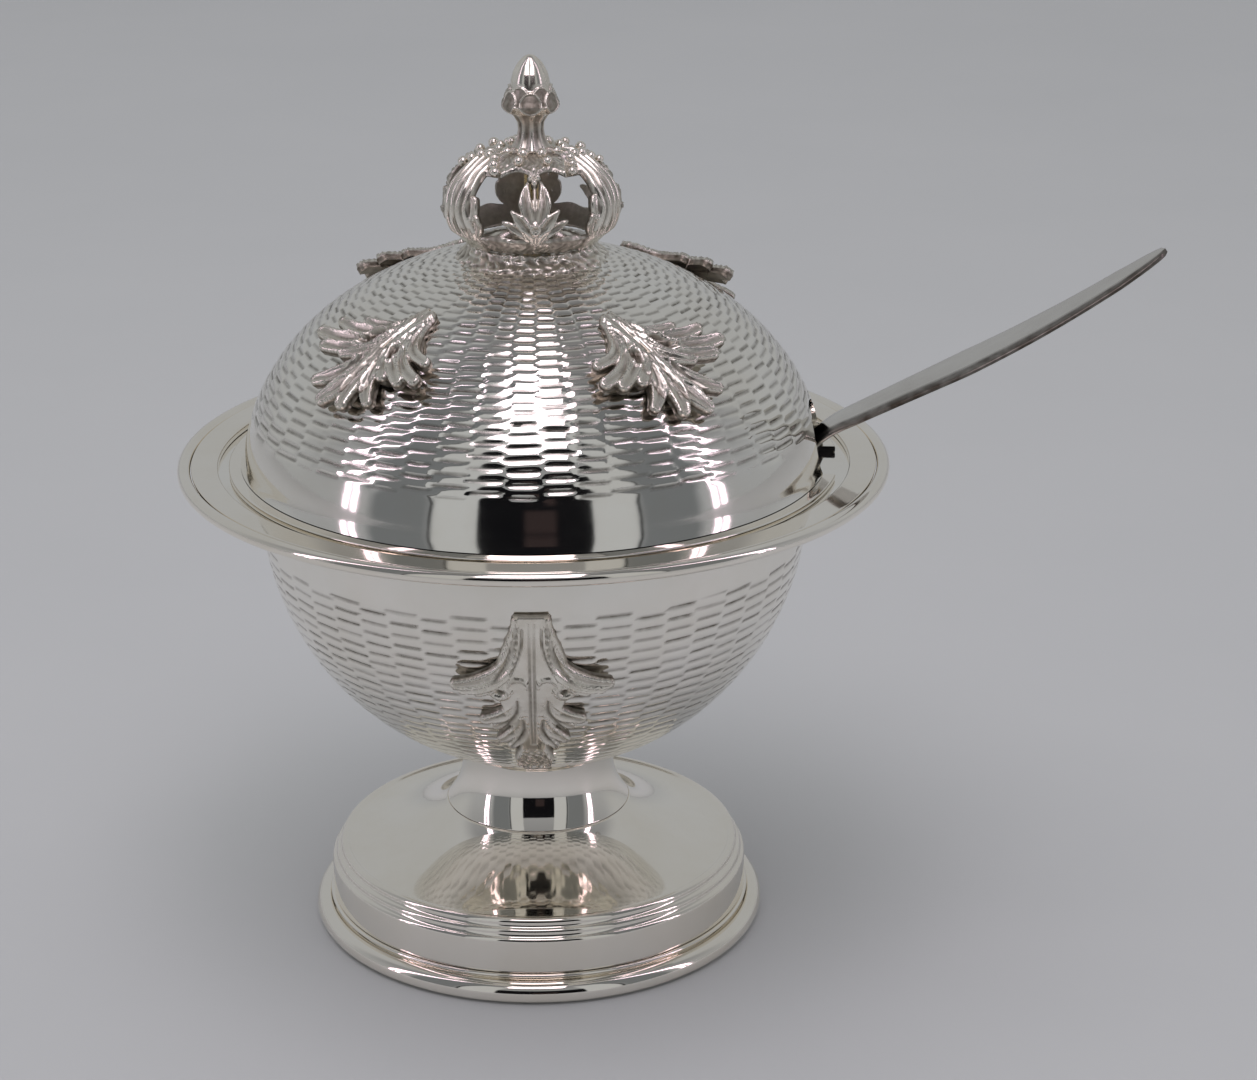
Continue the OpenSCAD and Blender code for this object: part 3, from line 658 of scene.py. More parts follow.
def arch_cutter():
    """A bar with a round top, reaching outwards through the dome's edge."""
    profile = [(-NOTCH_R, SEAT - 8), (NOTCH_R, SEAT - 8)]
    profile += [(NOTCH_R * math.cos(t), NOTCH_TOP - NOTCH_R + NOTCH_R * math.sin(t))
                for t in np.linspace(0, math.pi, 33)]
    n = len(profile)
    points = [(x, y, z) for x in (20, 60) for y, z in profile]
    faces = [tuple(range(n))[::-1], tuple(range(n, 2 * n))]
    faces += [(i, (i + 1) % n, n + (i + 1) % n, n + i) for i in range(n)]
    return new_object("notch_cutter", points, faces)


def cut_notch(obj):
    """Cuts the notch out of a closed piece."""
    cutter = arch_cutter()
    cut = obj.modifiers.new("notch", "BOOLEAN")
    cut.object, cut.operation, cut.solver = cutter, "DIFFERENCE", "EXACT"
    plain_mesh(obj)
    bpy.data.objects.remove(cutter)
    obj.data.set_sharp_from_angle(angle=math.radians(50))
    return obj


cut_notch(lid)
finish_piece(lid, TOOLED, "lid", "bark_textured_silver", "lid_dome")

# %% [markdown]
# Under the dome a flanged ring carries the lid's weight on the bowl's ledge and
# reaches down into the mouth, so the lid can't slide off sideways.
# %% The lid's seating ring
MOUTH_R = 45.5              # inner radius of the bowl's mouth
low = reach("lid_bezel")[1]
seat = SEAT + 0.05          # a hair above the ledge, so the lid lifts freely
bezel_r = MOUTH_R - 0.35
outline = rounded([
    (bezel_r - SHEET, low, 0.3), (bezel_r, low, 0.3), (bezel_r, seat, 0.2),
    (LID_R, seat, 0.25), (LID_R, seat + SHEET, 0.25), (bezel_r - SHEET, seat + SHEET, 0.2)])
bezel = lathe("lid_bezel_ring", outline, 256)
cut_notch(bezel)
finish_piece(bezel, POLISHED, "lid", "polished_silver", "lid_bezel")

# %% [markdown]
# The bowl is the lower half of another oval, with a lip bent outwards on top. The
# lip, the plain band under it and the tooled part are one curve, so the shell
# helper can give each its own spacing of rings.
# %% The bowl, its lip and the mouth
BOWL_A, BOWL_B = 46.5, WIDE - BOWL_BOTTOM
LIP_R = RIM_R - 2.3
PLAIN_BAND = 5.6            # plain band between the bend of the lip and the strokes
bend = SEAT - 3.2           # level at which the lip bends outwards
outer = [(BOWL_A, bend)] + [(BOWL_A * math.cos(t), WIDE + BOWL_B * math.sin(t))
                            for t in np.linspace(0, -math.pi / 2, 800)]
outer[-1] = (0.0, BOWL_BOTTOM)
lip = arc(BOWL_A + 2.2, bend, 2.2, 90, 176, 8)
lip = [(r, SEAT - SHEET) for r in (LIP_R, LIP_R - 0.15, 55, 52)] + lip
edge = [(MOUTH_R, WIDE), (MOUTH_R, SEAT - 0.5), (MOUTH_R, SEAT - 0.3)] + arc(
    MOUTH_R + 0.2, SEAT - 0.2, 0.2, 180, 90, 4) + [(MOUTH_R + 0.5, SEAT), (LIP_R - 0.2, SEAT), (LIP_R, SEAT)]
inside_curve = [(0.0, BOWL_BOTTOM + SHEET)]
inside_curve += [((BOWL_A - SHEET) * math.cos(t), WIDE + (BOWL_B - SHEET) * math.sin(t))
                 for t in np.linspace(-math.pi / 2, 0, 26)[1:-1]]
top_plain = float(bend - WIDE + PLAIN_BAND)
length_of_lip = float(np.sum(np.linalg.norm(np.diff(np.asarray(lip + outer[:1]), axis=0), axis=1)))
bowl = shell("bowl_tooled", lip + outer, length_of_lip + top_plain, 1e9, inside_curve + edge, 400, 0.33)

# %% [markdown]
# Towards the bottom of the bowl the strokes grow shallower, as they do where a
# smith's punch has less room. The shell's "tooling" attribute is scaled for that.
# %% Strokes on the bowl
tooling = bowl.data.attributes["tooling"].data
depth_here = np.zeros(len(tooling), np.float32)
tooling.foreach_get("value", depth_here)
levels_here = np.array([v.co.z for v in bowl.data.vertices]) / MM - BOWL_BOTTOM
tooling.foreach_set("value", (depth_here * np.interp(levels_here, (3, 20), (0.35, 1))).astype(np.float32))
run_nodes(bowl, strokes, {"Columns": 50, "Row Height": 2.1, "Groove Width": 0.46, "Groove Depth": 0.15,
                          "Pillow": 0.07, "Unevenness": 0.6, "Seed": 9, "Material": TOOLED})
finish_piece(bowl, TOOLED, "bowl_on_foot", "bark_textured_silver", "bowl")

# %% [markdown]
# A flat polished ring lies on the lip round the lid, and a round wire finishes the
# edge. The wire's turned outline stops short of a full circle, and the lathe
# closes it.
# %% Rim plate and rim wire
plate = SEAT + SOLDER
PLATE_T = 1.2               # thickness of the ring
inner_r = reach("rim_plate")[0] - 4.5
outline = rounded([(inner_r, plate, 0.1), (LIP_R, plate, 0.1),
                   (LIP_R, plate + PLATE_T, 0.2), (inner_r, plate + PLATE_T, 0.5)])
rim_plate = lathe("rim_plate_polished", outline, 320)
finish_piece(rim_plate, POLISHED, "bowl_on_foot", "polished_silver", "rim_plate")
WIRE = 1.1                  # radius of the wire
rim_wire = lathe("rim_wire_round", arc(RIM_R - WIRE, SEAT + 0.6, WIRE, 0, 345, 23), 320)
finish_piece(rim_wire, POLISHED, "bowl_on_foot", "polished_silver", "rim_wire")

# %% [markdown]
# ## Cast ornament
# Leaves, palmettes and straps are castings with a front, a back and a soft edge.
# They are drawn as overlapping fingers: each finger follows a curve, widens and
# narrows along it, and has a raised rim round a trough. The shapes become a mesh
# by marching over a fine grid and cutting each square where a finger's edge
# crosses it. The grid is then laid on the lid, the bowl or the crown.
# %% Fingers


def bend_of(p0, p1, bow, steps=18):
    """Points on a curve from p0 to p1 that bows sideways by this much."""
    p0, p1 = np.asarray(p0, float), np.asarray(p1, float)
    side = np.array([p1[1] - p0[1], p0[0] - p1[0]])
    side /= np.linalg.norm(side)
    t = np.linspace(0, 1, steps)[:, None]
    return p0 + (p1 - p0) * t + side * bow * 4 * t * (1 - t)


def distance(xy, line):
    """Distance to a curve and place along it, from 0 to 1, at every point of xy."""
    best = np.full(len(xy), 1e9)
    where = np.zeros(len(xy))
    steps = np.diff(line, axis=0)
    for i, (s, d) in enumerate(zip(line[:-1], steps)):
        rel = xy - s
        t = np.clip(rel @ d / (d @ d), 0, 1)
        gap = np.linalg.norm(rel - t[:, None] * d, axis=1)
        near = gap < best
        best[near] = gap[near]
        where[near] = (i + t[near]) / len(steps)
    return best, where


def finger(xy, line, widths, rim=0.4, trough=0.55, lift=(0, 0), ribs=0):
    """Edge distance, height, lift and darkness of one finger at every point of xy."""
    best, where = distance(xy, np.asarray(line, float))
    w = np.interp(where, np.linspace(0, 1, len(widths)), widths)
    q = np.clip(best / w, 0, 2)
    height = trough * np.sqrt(np.clip(1 - q ** 6, 0, 1)) + rim * np.exp(-((q - 0.74) / 0.17) ** 2)
    dark = np.maximum(np.clip((q - 0.86) / 0.12, 0, 1), 0.5 * np.clip(1 - q / 0.55, 0, 1))
    if ribs:
        ends = np.clip(where * 4, 0, 1) * np.clip((0.92 - where) * 8, 0, 1)
        line_in = np.exp(-(best / 0.16) ** 2) * ends
        height = height - ribs * line_in
        dark = np.maximum(dark, 0.8 * line_in)
    raised = lift[0] + (lift[1] - lift[0]) * where ** 2
    return w - best, height, raised, dark


def groove(xy, parts, line, width, depth=0.35, shade=0.9):
    """Sinks a dark line into a finished shape."""
    edge, height, raised, dark = parts
    best, where = distance(xy, np.asarray(line, float))
    mask = np.exp(-(best / (width * (0.35 + 0.65 * np.sin(np.pi * np.clip(where, 0.04, 0.96))))) ** 2)
    return edge, height - depth * mask, raised, np.maximum(dark, shade * mask)


def hollow_oval(xy, parts, centre, radii, turn, depth, rim=0.3):
    """Sinks an oval eye with a raised rim into a finished shape."""
    edge, height, raised, dark = parts
    t = math.radians(turn)
    rel = (xy - np.asarray(centre)) @ np.array([[math.cos(t), -math.sin(t)], [math.sin(t), math.cos(t)]])
    q = np.hypot(rel[:, 0] / radii[0], rel[:, 1] / radii[1])
    inside = np.clip((1 - q) / 0.3, 0, 1)
    ring = np.exp(-((q - 1.15) / 0.18) ** 2)
    return edge, height - depth * inside + rim * ring, raised, np.maximum(dark * (1 - ring), inside)


def union(parts):
    """The highest finger wins at every point."""
    edge = np.max([p[0] for p in parts], axis=0)
    level = np.array([np.where(p[0] > -0.02, p[1] + p[2], -9) for p in parts])
    best = np.argmax(level, axis=0)[None]
    return edge, *(np.take_along_axis(np.array([p[k] for p in parts]), best, 0)[0] for k in (1, 2, 3))


# %% [markdown]
# A drawing becomes a mesh in two steps. The grid is marched square by square, and
# each square is cut where the drawing's edge crosses it. Then a second sheet is
# laid under the first and walls join their edges, so every casting is closed.
# %% From a drawing to a casting


def casting(lo, hi, grid, shape, surface, thickness, open_sides=False):
    """Marches over a grid, keeps what the shape covers, and lays it on a surface.

    shape(xy) gives edge, height, lift and darkness; surface(xy, height) gives points
    in mm. With open_sides there is no wall at lo and hi across, where copies meet.
    """
    nx, ny = (max(2, round((hi[k] - lo[k]) / grid)) for k in (0, 1))
    xs, ys = np.linspace(lo[0], hi[0], nx + 1), np.linspace(lo[1], hi[1], ny + 1)
    gx, gy = np.meshgrid(xs, ys, indexing="ij")
    edge = shape(np.stack([gx.ravel(), gy.ravel()], 1))[0].reshape(nx + 1, ny + 1)
    index, flat = {}, []

    def point(key, x, y):
        if key not in index:
            index[key] = len(flat)
            flat.append((x, y))
        return index[key]

    faces = []
    for i in range(nx):
        for j in range(ny):
            ring = [(i, j), (i + 1, j), (i + 1, j + 1), (i, j + 1)]
            inside = [edge[c] > 0 for c in ring]
            if not any(inside):
                continue
            loop = []
            for k in range(4):
                a, b = ring[k], ring[(k + 1) % 4]
                if inside[k]:
                    loop.append(point(a, xs[a[0]], ys[a[1]]))
                if inside[k] != inside[(k + 1) % 4]:
                    t = min(0.93, max(0.07, edge[a] / (edge[a] - edge[b])))
                    key = (min(a, b), max(a, b))
                    loop.append(point(key, xs[a[0]] + t * (xs[b[0]] - xs[a[0]]),
                                      ys[a[1]] + t * (ys[b[1]] - ys[a[1]])))
            faces.append(tuple(loop))
    flat = np.asarray(flat)
    n = len(flat)
    count = {}
    for f in faces:
        for a, b in zip(f, f[1:] + f[:1]):
            count[(min(a, b), max(a, b))] = count.get((min(a, b), max(a, b)), 0) + 1
    edge_here, height, lift, dark = shape(flat)
    top = surface(flat, lift + height * np.clip((edge_here + 0.06) / 0.4, 0.3, 1))
    bottom = surface(flat, np.maximum(lift - thickness, 0.0))
    sides = []
    for f in faces:
        for a, b in zip(f, f[1:] + f[:1]):
            if count[(min(a, b), max(a, b))] == 1:
                seam = open_sides and any(max(abs(flat[a, 0] - x), abs(flat[b, 0] - x)) < 1e-6
                                          for x in (lo[0], hi[0]))
                if not seam:
                    sides.append((b, a, a + n, b + n))
    under = [tuple(p + n for p in reversed(f)) for f in faces]
    # the underside sheet is darkened by a fixed 0.55: tarnish and painted shade under the lifted tips
    return np.vstack([top, bottom]), faces + under + sides, np.concatenate([dark, 0.55 * np.ones(n)])


def store_patina_and_shade(obj, values):
    """Stores how dark each point is for the patina group: depth in a hollow on most pieces, painted shade
    under the castings and on the spoon's near edge.
    """
    layer = obj.data.attributes.new("hollow", "FLOAT", "POINT")
    layer.data.foreach_set("value", np.asarray(values, np.float32))


# %% [markdown]
# ### The lid's leaves
# Four acanthus leaves are soldered to the lid by their roots. Each has a side lobe
# of four fingers, another of five and a fan of four at its foot, and its tips curl
# up off the dome, which leaves a dark gap under them. One drawing serves all four;
# the pair on one side is its mirror image.
# %% Drawing a lid leaf


def lid_leaf_shape(xy, hand):
    """A leaf as seen with its root up; hand is 1 or -1, for its mirror image."""
    def at(x, y):
        return (hand * x, y)

    def run(root, tip, bow):
        return bend_of(at(*root), at(*tip), -hand * bow)

    fingers = (
        # root, tip, bow, widths, rim, trough, lift at both ends, middle vein
        # one side lobe
        ((-1.5, -10.4), (-9.4, -3.6), -2.4, (0.8, 1.3, 1.4, 1.1, 1.0), 0.45, 0.5, (0.5, 2.3), 0.3),
        ((-1.3, -9.6), (-10.7, -0.4), -2.9, (0.8, 1.2, 1.5, 1.3, 1.1), 0.5, 0.5, (0.6, 2.9), 0.3),
        ((-1.2, -8.6), (-8.6, 1.2), -2.3, (0.8, 1.2, 1.5, 1.3, 1.1), 0.5, 0.5, (0.6, 2.8), 0.3),
        ((-1.0, -7.0), (-5.2, 1.9), -1.5, (0.7, 1.0, 1.3, 1.2, 1.0), 0.5, 0.5, (0.6, 2.1), 0.25),
        # the other side lobe
        ((0.2, -9.8), (6.4, -4.0), 1.5, (0.8, 1.0, 1.2, 1.0), 0.45, 0.5, (0.6, 2.0), 0.25),
        ((0.6, -9.4), (9.6, -1.6), 2.4, (0.8, 1.1, 1.4, 1.1), 0.5, 0.5, (0.7, 2.9), 0.3),
        ((0.8, -8.4), (11.4, 1.4), 2.6, (0.8, 1.1, 1.5, 1.2), 0.55, 0.5, (0.7, 3.3), 0.3),
        ((0.8, -7.0), (8.9, 3.0), 2.0, (0.7, 1.0, 1.4, 1.1), 0.5, 0.5, (0.7, 2.9), 0.3),
        ((0.6, -5.0), (5.2, 2.4), 1.0, (0.6, 0.9, 1.1, 0.9), 0.45, 0.5, (0.6, 1.9), 0.25),
        # the fan at the foot
        ((-0.8, -2.4), (-5.9, 6.2), -1.3, (0.8, 1.3, 1.8, 1.5, 1.0), 0.45, 0.55, (0.7, 1.8), 0.3),
        ((-0.4, -1.2), (-2.0, 8.6), -0.9, (0.8, 1.2, 1.9, 1.8, 1.2), 0.45, 0.55, (0.7, 1.9), 0.3),
        ((0.3, -1.2), (2.4, 9.8), 0.6, (0.8, 1.2, 1.9, 1.8, 1.2), 0.45, 0.55, (0.7, 1.8), 0.3),
        ((0.9, -1.8), (6.2, 8.0), 1.3, (0.8, 1.2, 1.7, 1.5, 1.0), 0.45, 0.55, (0.7, 1.9), 0.3),
        # the double rib from the root down
        ((-0.9, -11), (-0.2, 3.5), 0.2, (0.8, 0.75, 0.6, 0.5, 0.35), 0.3, 0.85, (0.6, 0.9)),
        ((0.3, -11), (0.6, 4.5), -0.2, (0.8, 0.75, 0.6, 0.5, 0.35), 0.3, 0.85, (0.6, 0.9)),
    )
    parts = [finger(xy, run(*f[:3]), *f[3:]) for f in fingers]
    out = union(parts)
    out = hollow_oval(xy, out, at(-2.7, -2.2), (0.95, 1.8), hand * 18, 0.8)
    out = hollow_oval(xy, out, at(3.2, -2.6), (0.85, 2.5), -hand * 28, 0.8)
    for root, tip, bow, width in (
        ((-0.2, 0.5), (-0.4, 9.4), -0.3, 0.34), ((-3.6, 1.2), (-3.9, 6.8), -0.3, 0.3),
        ((2.2, 0.5), (4.6, 9.2), 0.5, 0.34),
    ):
        out = groove(xy, out, run(root, tip, bow), width, 0.5, 1.0)
    return out


# %% [markdown]
# The leaf is drawn flat and then laid on the dome, which is an oval turned round
# its upright axis. Each point slides along the leaf's own normal until it meets the
# oval, in a few Newton steps, and is then lifted by its height along the surface's
# normal there.
# %% Laying a leaf on an oval body


def spin_by(degrees):
    """A turn about the centre line, as a matrix."""
    t = math.radians(degrees)
    return np.array([[math.cos(t), -math.sin(t), 0], [math.sin(t), math.cos(t), 0], [0, 0, 1]])


def on_oval(a, b, mid, azimuth, r, twist, below=False):
    """Lays a drawing on an oval body: x runs across, y down, from a point at radius r."""
    h = b * math.sqrt(1 - (r / a) ** 2) * (-1 if below else 1)
    n = np.array([r / a ** 2, 0, h / b ** 2])
    n /= np.linalg.norm(n)
    side = np.array([0.0, 1.0, 0.0])
    down = np.cross(side, n)
    down *= -1 if down[2] > 0 else 1
    t = math.radians(twist)
    down, side = down * math.cos(t) + side * math.sin(t), side * math.cos(t) - down * math.sin(t)
    origin = np.array([r, 0, h])
    spin = spin_by(azimuth)

    def place(xy, height):
        p = origin + xy[:, :1] * side + xy[:, 1:] * down
        for _ in range(12):
            f = (p[:, 0] ** 2 + p[:, 1] ** 2) / a ** 2 + p[:, 2] ** 2 / b ** 2 - 1
            g = 2 * (p[:, 0] * n[0] + p[:, 1] * n[1]) / a ** 2 + 2 * p[:, 2] * n[2] / b ** 2
            p = p - (f / g)[:, None] * n
        out = np.stack([p[:, 0] / a ** 2, p[:, 1] / a ** 2, p[:, 2] / b ** 2], 1)
        out /= np.linalg.norm(out, axis=1)[:, None]
        p = p + out * (SOLDER + np.asarray(height))[:, None]
        p = p @ spin.T
        return p + np.array([0, 0, mid])
    return place


def leaf_piece(name, lo, hi, grid, shape, place, thickness, body, node):
    """Makes one cast leaf and lets it stand for its CAD node."""
    points, faces, dark = casting(lo, hi, grid, shape, place, thickness)
    leaf = new_object(name, points, faces)
    store_patina_and_shade(leaf, dark)
    return finish_piece(leaf, CAST, body, "aged_cast_silver", node)


LEAF_R, LEAF_SPREAD, LEAF_TWIST = DOME_A - 13.5, 38.0, 14.0
LEAF_T = 0.9                # thickness of the casting under its lowest trough
for label, azimuth, hand in (
    ("front_left", -90 - LEAF_SPREAD, -1), ("front_right", -90 + LEAF_SPREAD, 1),
    ("back_right", 90 - LEAF_SPREAD, -1), ("back_left", 90 + LEAF_SPREAD, 1),
):
    leaf_piece("lid_leaf_" + label + "_cast", (-13.4, -12.4), (13.4, 12), 0.22,
               lambda xy, hand=hand: lid_leaf_shape(xy, hand),
               on_oval(DOME_A, DOME_B, DOME_MID, azimuth, LEAF_R, hand * LEAF_TWIST), LEAF_T,
               "lid", "lid_leaf_" + label)

# %% [markdown]
# ### The bowl's leaves
# A longer leaf hangs from the polished band: a plain tongue at the top, two wide
# side lobes with a small scroll under each, two smaller pairs of fingers, and a
# stippled tip. A second one faces it on the far side.
# %% Drawing a bowl leaf


def bowl_leaf_shape(xy):
    """The long leaf: a blade first, then pairs of fingers, scrolls and hooks, and its veins."""
    x, y = xy.T
    half = np.interp(y, (-17.7, -15, -12, -9, -6, -3, 0, 4, 8, 11, 13, 15, 17, 18.6, 19.3),
                     (2.7, 3.5, 4.6, 5.6, 6.4, 6.0, 5.0, 3.9, 2.9, 2.0, 2.3, 3.1, 3.1, 2.0, 0.4))
    inside = np.minimum(half - np.abs(x), np.minimum(y + 17.6, 19.3 - y))
    rim = 0.35 * np.exp(-((inside - 0.35) / 0.26) ** 2)
    tip = np.clip((y - 12) / 2, 0, 1)
    stipple = 0.22 * np.sin(5.2 * x + 1.3 * np.sin(3 * y)) * np.sin(4.6 * y + x)
    blade = 0.75 + rim * (0.5 + tip) + stipple * tip
    dark = np.clip(1 - inside / 0.3, 0, 1) * 0.7
    dark = dark + tip * np.clip(0.35 - 3 * stipple, 0, 0.9) * (inside > 0.6)
    parts = [(inside, blade, 0.2 + 0.35 * tip, dark)]
    for m in (-1, 1):
        for root, tip_at, bow, widths, rims, lift, ribs in (
            ((2.6, -16.6), (11.6, -4.9), 3.5, (0.6, 1.1, 1.3, 1.3, 0.9), 0.75, (0.5, 1.9), 0.0),
            ((3.0, -13.4), (10.6, -3.6), 2.6, (0.6, 1.2, 1.4, 1.4, 1.0), 0.45, (0.4, 1.4), 0.3),
            ((3.2, -10.6), (8.4, -2.9), 1.5, (0.6, 1.1, 1.3, 1.2, 0.9), 0.3, (0.3, 1.0), 0.2),
            ((2.0, -2.0), (7.4, 3.2), 1.3, (0.6, 1.0, 1.3, 1.0), 0.35, (0.3, 1.1), 0.3),
            ((1.8, 0.0), (6.0, 4.9), 0.9, (0.6, 0.9, 1.1, 0.9), 0.3, (0.3, 0.9), 0.3),
            ((1.3, 2.4), (4.9, 8.3), 0.8, (0.6, 1.0, 1.2, 0.9), 0.4, (0.3, 1.1), 0.3),
            ((0.9, 5.4), (3.4, 10.4), 0.5, (0.5, 0.8, 1.0, 0.8), 0.4, (0.3, 0.9), 0.3),
        ):
            parts.append(finger(xy, bend_of((m * root[0], root[1]), (m * tip_at[0], tip_at[1]), -m * bow),
                                widths, rims, 0.5, lift, ribs))
        turn = np.linspace(-0.2, 1.75, 26) * math.pi
        size = np.linspace(1.7, 0.8, 26)
        scroll = np.stack([m * (5.0 + size * np.cos(turn)), -3.4 + size * np.sin(turn)], 1)
        parts.append(finger(xy, scroll, (0.42, 0.46, 0.36), 0.1, 0.5, (0.95, 0.95)))
        turn = np.linspace(-1.05, 0.25, 16) * math.pi
        hook = np.stack([m * (2.3 + 1.5 * np.cos(turn)), -4.6 + 1.5 * np.sin(turn)], 1)
        parts.append(finger(xy, hook, (0.3, 0.42, 0.36), 0.1, 0.45, (0.9, 0.9)))
    out = union(parts)
    for m in (-1, 1):
        for root, tip_at, bow, width in (
            ((0.38, -16.4), (0.3, 10.5), 0.0, 0.2), ((2.4, -1.2), (5.0, 5.6), 0.9, 0.36),
            ((1.6, 3.6), (3.4, 10.6), 0.8, 0.42), ((1.5, -15.5), (3.4, -6.8), 0.5, 0.2),
            ((3.2, -13.6), (6.6, -5.2), 0.9, 0.2),
        ):
            vein = bend_of((m * root[0], root[1]), (m * tip_at[0], tip_at[1]), -m * bow)
            out = groove(xy, out, vein, width, 0.4)
        out = hollow_oval(xy, out, (m * 5.0, -3.4), (0.55, 0.85), 0, 0.5, 0.1)
        for k in range(7):
            dot = np.hypot(x - m * (2.2 + 0.12 * k), y + 15.4 - 1.15 * k)
            mask = np.exp(-(dot / 0.24) ** 2)
            out = (out[0], out[1] - 0.3 * mask, out[2], np.maximum(out[3], 0.9 * mask))
    return out


LEAF_DROP = 22.0            # how far the leaf's middle lies below the bowl's widest part
bowl_leaf_r = oval_r(BOWL_A, BOWL_B, LEAF_DROP)
for label, azimuth in (("front", -85.25), ("back", 94.75)):
    leaf_piece("bowl_leaf_" + label + "_cast", (-13.5, -18.5), (13.5, 20), 0.24, bowl_leaf_shape,
               on_oval(BOWL_A, BOWL_B, WIDE, azimuth, bowl_leaf_r, 0, below=True), 0.8,
               "bowl_on_foot", "bowl_leaf_" + label)

# %% [markdown]
# ## The crown
# The finial is an openwork crown: a cup, three ribbed straps that arch up to a
# beaded ring, and a palmette standing in each opening. A third of it is drawn
# flat, as azimuth across and length along the wall up, and the three copies are
# welded along the middle of the straps.
# %% The crown's wall
WAIST_H, SHOULDER_H = 7.0, 9.3      # heights below and above the crown's widest part
CROWN_WIDE = CROWN_FOOT + WAIST_H
FOOT_CROWN_R = 10.4                 # radius of the crown's foot
RELIEF = 0.6                        # how much of the ornament is sunk in the wall
LOW_B = WAIST_H / math.sqrt(1 - (FOOT_CROWN_R / CROWN_R) ** 2)
wall = [(CROWN_R * math.cos(t), CROWN_WIDE + LOW_B * math.sin(t))
        for t in np.linspace(-math.asin(WAIST_H / LOW_B), 0, 80)]
wall += [(CROWN_R * math.cos(t), CROWN_WIDE + SHOULDER_H * math.sin(t))
         for t in np.linspace(0, math.radians(83), 140)[1:]]
wall = np.asarray([p for p in wall if p[0] > 2.3])
wall[:, 1] = np.minimum(wall[:, 1], CROWN_TOP)
wall_run = np.concatenate([[0], np.cumsum(np.linalg.norm(np.diff(wall, axis=0), axis=1))])
tangent = np.gradient(wall, wall_run, axis=0)
print("crown wall length", round(float(wall_run[-1]), 2))


def up_to(z):
    """Length along the wall at which it reaches a height above the crown's foot."""
    return float(np.interp(CROWN_FOOT + z, wall[:, 1], wall_run))


def on_crown(xy, height):
    """Bends a drawing round the crown's wall."""
    turn = xy[:, 0] / CROWN_R
    r, z = (np.interp(xy[:, 1], wall_run, wall[:, k]) for k in (0, 1))
    tr, tz = (np.interp(xy[:, 1], wall_run, tangent[:, k]) for k in (0, 1))
    long = np.hypot(tr, tz)
    height = height - RELIEF
    r, z = r + height * tz / long, z - height * tr / long
    return np.stack([r * np.sin(turn), -r * np.cos(turn), z], 1)


# %% [markdown]
# One third runs from the middle of one strap to the middle of the next. Its parts
# are a cup, two round arches, half a ribbed strap at each side, curled leaf ends,
# and the palmette: petals, upright leaves, a pierced bead and four knobs.
# %% Drawing a third of the crown
THIRD = CROWN_R * math.pi / 3
SILL, HEAD = up_to(3.1), up_to(13.9)


